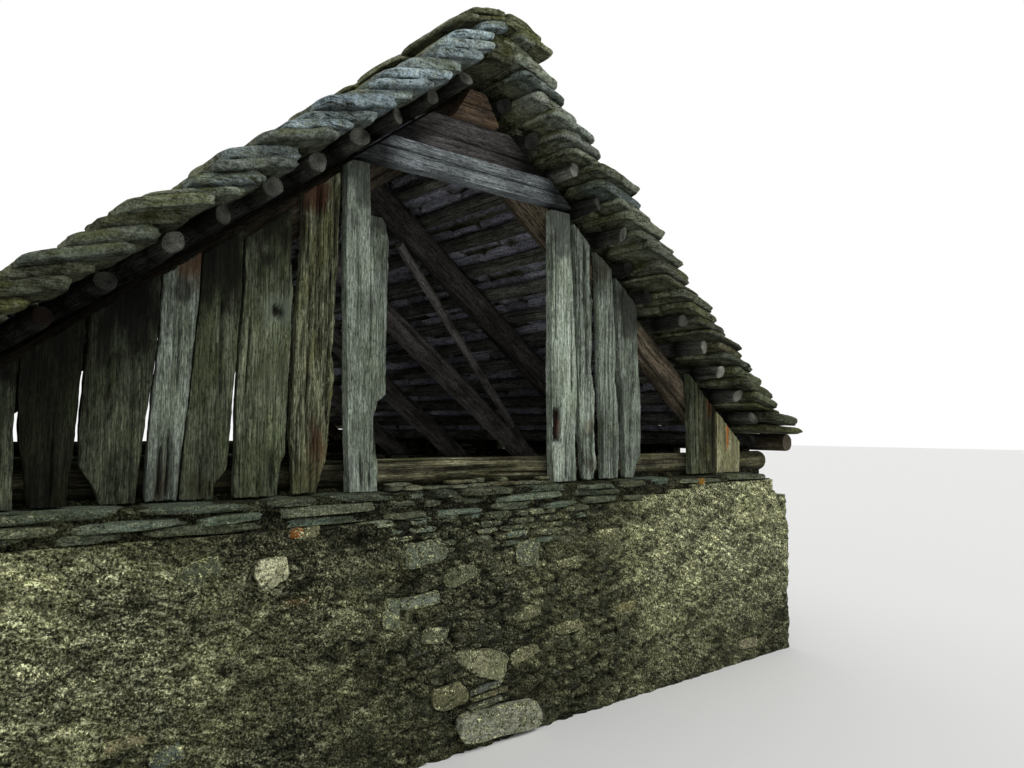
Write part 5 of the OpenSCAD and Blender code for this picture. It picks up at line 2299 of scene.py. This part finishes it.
    def thin_courses(self, stock: StoneStock) -> list[Piece]:
        """Lay the thin bare courses in the face, below the doorway.

        Args:
            stock: stones to lay.

        Returns:
            The stones, in courses that grow longer upwards.
        """
        rng, deep = default_rng(470), 0.12
        stones = []
        z = self.thin_foot
        while z < BARN.rubble_top - 0.01:
            thick = rng.uniform(0.026, 0.046)
            up = (z - self.thin_foot) / (BARN.rubble_top - self.thin_foot)
            start = -0.55 - 0.3 * up * rng.uniform(0.2, 1)
            end = 0.35 + 0.75 * up * rng.uniform(0.5, 1)
            for at, wide in row(rng, start, end, (0.1, 0.3)):
                y = -BARN.half_length - rng.uniform(0.004, 0.02) + deep / 2
                kind = rng.integers(99)
                tall = min(thick * rng.uniform(0.85, 1.05), BARN.rubble_top + 0.01 - z)
                stones.append(stock.lay(kind, Matrix.Translation((at + wide / 2, y, z)),
                                        (wide - 0.006, deep, tall), rng.uniform(0.75, 1.1),
                                        self.tone_of(rng)))
            z += thick
        return stones

    def eave_stones(self, wall: Wall, stock: StoneStock) -> list[Piece]:
        """Fill between a side wall and its eave log, but for the vent slots.

        Args:
            wall: the side wall.
            stock: stones to lay.

        Returns:
            The stones.
        """
        rng = default_rng(480 + len(wall.node))
        side = wall.faces[0].sign
        middle = side * (BARN.half_width - self.eave_deep / 2)
        half, top, tall = self.eave_half, BARN.eave_stone_top, 0.0335
        slots = [-Frame.rafter_y + (index + 0.5) * self.bay for index in range(Frame.pairs - 1)]
        edges = [-half] + [slot + sign * self.vent[0] / 2 for slot in slots for sign in (-1, 1)]
        edges += [half]
        inner, outer = sorted((side * (BARN.half_width - self.eave_deep + 0.008),
                               side * (BARN.half_width - 0.012)))
        stones = [self.core((inner, -half, BARN.wall_top - 0.02),
                            (outer, half, top - self.vent[1] - 0.004))]
        for first, last in zip(edges[::2], edges[1::2]):
            stones.append(self.core((inner, first + 0.004, top - self.vent[1] - 0.02),
                                    (outer, last - 0.004, top + 0.012)))
        rows = [(BARN.wall_top + step * tall, tall, (-half, half)) for step in range(3)]
        rows += [(top - self.vent[1], self.vent[1] - 0.001, pair)
                 for pair in zip(edges[::2], edges[1::2])]
        for z, tall, (start, end) in rows:
            for at, long in row(rng, start, end, (0.14, 0.34), rest=0.08, slack=0.04):
                size = (long - 0.003, self.eave_deep * rng.uniform(0.95, 1.0), tall)
                place = Matrix.Translation((middle, at + long / 2, z))
                stones.append(stock.lay(rng.integers(99),
                                        place @ Matrix.Rotation(pi / 2, 4, "Z"), size,
                                        rng.uniform(0.7, 1.0), self.tone_of(rng)))
        return stones

    def boulders(self, stock: StoneStock) -> list[Piece]:
        """Set the stones that stand out of the front face.

        Args:
            stock: stones to set.

        Returns:
            The stones.
        """
        stones, sunk = [], 0.08
        for index, stone in enumerate(BOULDERS):
            wide, tall, out = stone.size
            x, z = stone.place
            place = (Matrix.Translation((x, -BARN.half_length - out, z))
                     @ Matrix.Rotation(radians(-stone.turn), 4, "Y")
                     @ Matrix.Rotation(-pi / 2, 4, "X"))
            stones.append(stock.lay(index, place, (wide, tall, out + sunk), 1.3, stone.colour))
        return stones

    def sill_rubble(self, stock: StoneStock) -> list[Piece]:
        """Lay the small pale rubble in front of the sill log, in the doorway.

        Args:
            stock: stones to lay.

        Returns:
            The stones, in two layers.
        """
        rng, y = default_rng(490), -3.095
        stones = []
        for layer, z in enumerate((BARN.wall_top - 0.004, BARN.wall_top + 0.018)):
            for at, wide in row(rng, -0.52, 0.54, (0.05, 0.17)):
                size = (wide, rng.uniform(0.07, 0.11) - 0.02 * layer, rng.uniform(0.018, 0.028))
                place = Matrix.Translation((at + wide / 2, y + 0.012 * layer, z))
                if layer == 0 or rng.random() < 0.6:
                    stones.append(stock.lay(rng.integers(99), place, size, 1.0,
                                            self.tone_of(rng, srgb(96, 98, 80))))
        return stones


# Studio


@dataclass
class Studio:
    """Camera, floor, background and lights."""

    place: Triple = (-2.55, -6.4, 1.6)
    yaw: float = 40.5
    pitch: float = 3.3
    roll: float = 0.35
    lens: float = 27.77
    light: float = 0.75
    sun: float = 1.0

    def build(self) -> None:
        """Set up everything that isn't the barn."""
        self.camera()
        self.floor()
        self.world()
        self.lamp()

    def camera(self) -> None:
        """Add the camera at the picture's viewpoint."""
        data = bpy.data.cameras.new("camera")
        data.lens, data.sensor_width = self.lens, 36
        data.clip_end = 200
        obj = bpy.data.objects.new("camera", data)
        turn = (Matrix.Rotation(radians(-self.yaw), 4, "Z")
                @ Matrix.Rotation(radians(90 + self.pitch), 4, "X")
                @ Matrix.Rotation(radians(self.roll), 4, "Z"))
        obj.matrix_world = Matrix.Translation(self.place) @ turn
        bpy.context.collection.objects.link(obj)
        bpy.context.scene.camera = obj

    def floor(self) -> None:
        """Add a plain pale floor."""
        deselect()
        bpy.ops.mesh.primitive_plane_add(size=160, location=(0, 0, 0))
        floor = bpy.context.object
        floor.name = "floor"
        g = Graph("pale_floor")
        g.shader.inputs["Base Color"].default_value = (0.8, 0.8, 0.79, 1)
        g.shader.inputs["Roughness"].default_value = 0.9
        floor.data.materials.append(g.made)

    def world(self) -> None:
        """Light all round with soft white, and show pure white behind the barn."""
        world = bpy.data.worlds.new("soft_white")
        bpy.context.scene.world = world
        world.use_nodes = True
        tree = world.node_tree
        tree.nodes.clear()
        ray, seen, soft, white, blend, out = (
            tree.nodes.new("ShaderNode" + kind) for kind in
            ("LightPath", "Math", "Background", "Background", "MixShader", "OutputWorld"))
        seen.operation, seen.use_clamp = "ADD", True
        for back, strength in ((soft, self.light), (white, 1.0)):
            back.inputs["Color"].default_value = (1, 1, 1, 1)
            back.inputs["Strength"].default_value = strength
        for source, node, slot in ((ray.outputs["Is Camera Ray"], seen, 0),
                                   (ray.outputs["Is Glossy Ray"], seen, 1),
                                   (seen.outputs[0], blend, 0), (soft.outputs[0], blend, 1),
                                   (white.outputs[0], blend, 2), (blend.outputs[0], out, 0)):
            tree.links.new(source, node.inputs[slot])

    def lamp(self) -> None:
        """Add one wide soft sun from above the front right."""
        data = bpy.data.lights.new("soft_sun", "SUN")
        data.energy, data.angle = self.sun, radians(25)
        obj = bpy.data.objects.new("soft_sun", data)
        obj.rotation_euler = Vector((-0.45, 0.55, -0.85)).to_track_quat("-Z", "Y").to_euler()
        bpy.context.collection.objects.link(obj)


def main() -> None:
    """Build the barn's pieces in order."""
    logging.basicConfig(level=logging.INFO, format="%(name)s %(message)s")
    bpy.context.scene.view_settings.view_transform = "Standard"
    Studio().build()
    Gable().build()
    Frame().build()
    RoofPoles().build()
    SlabRoof().build()
    Masonry().build()
    bpy.context.view_layer.update()


if __name__ == "__main__":
    main()
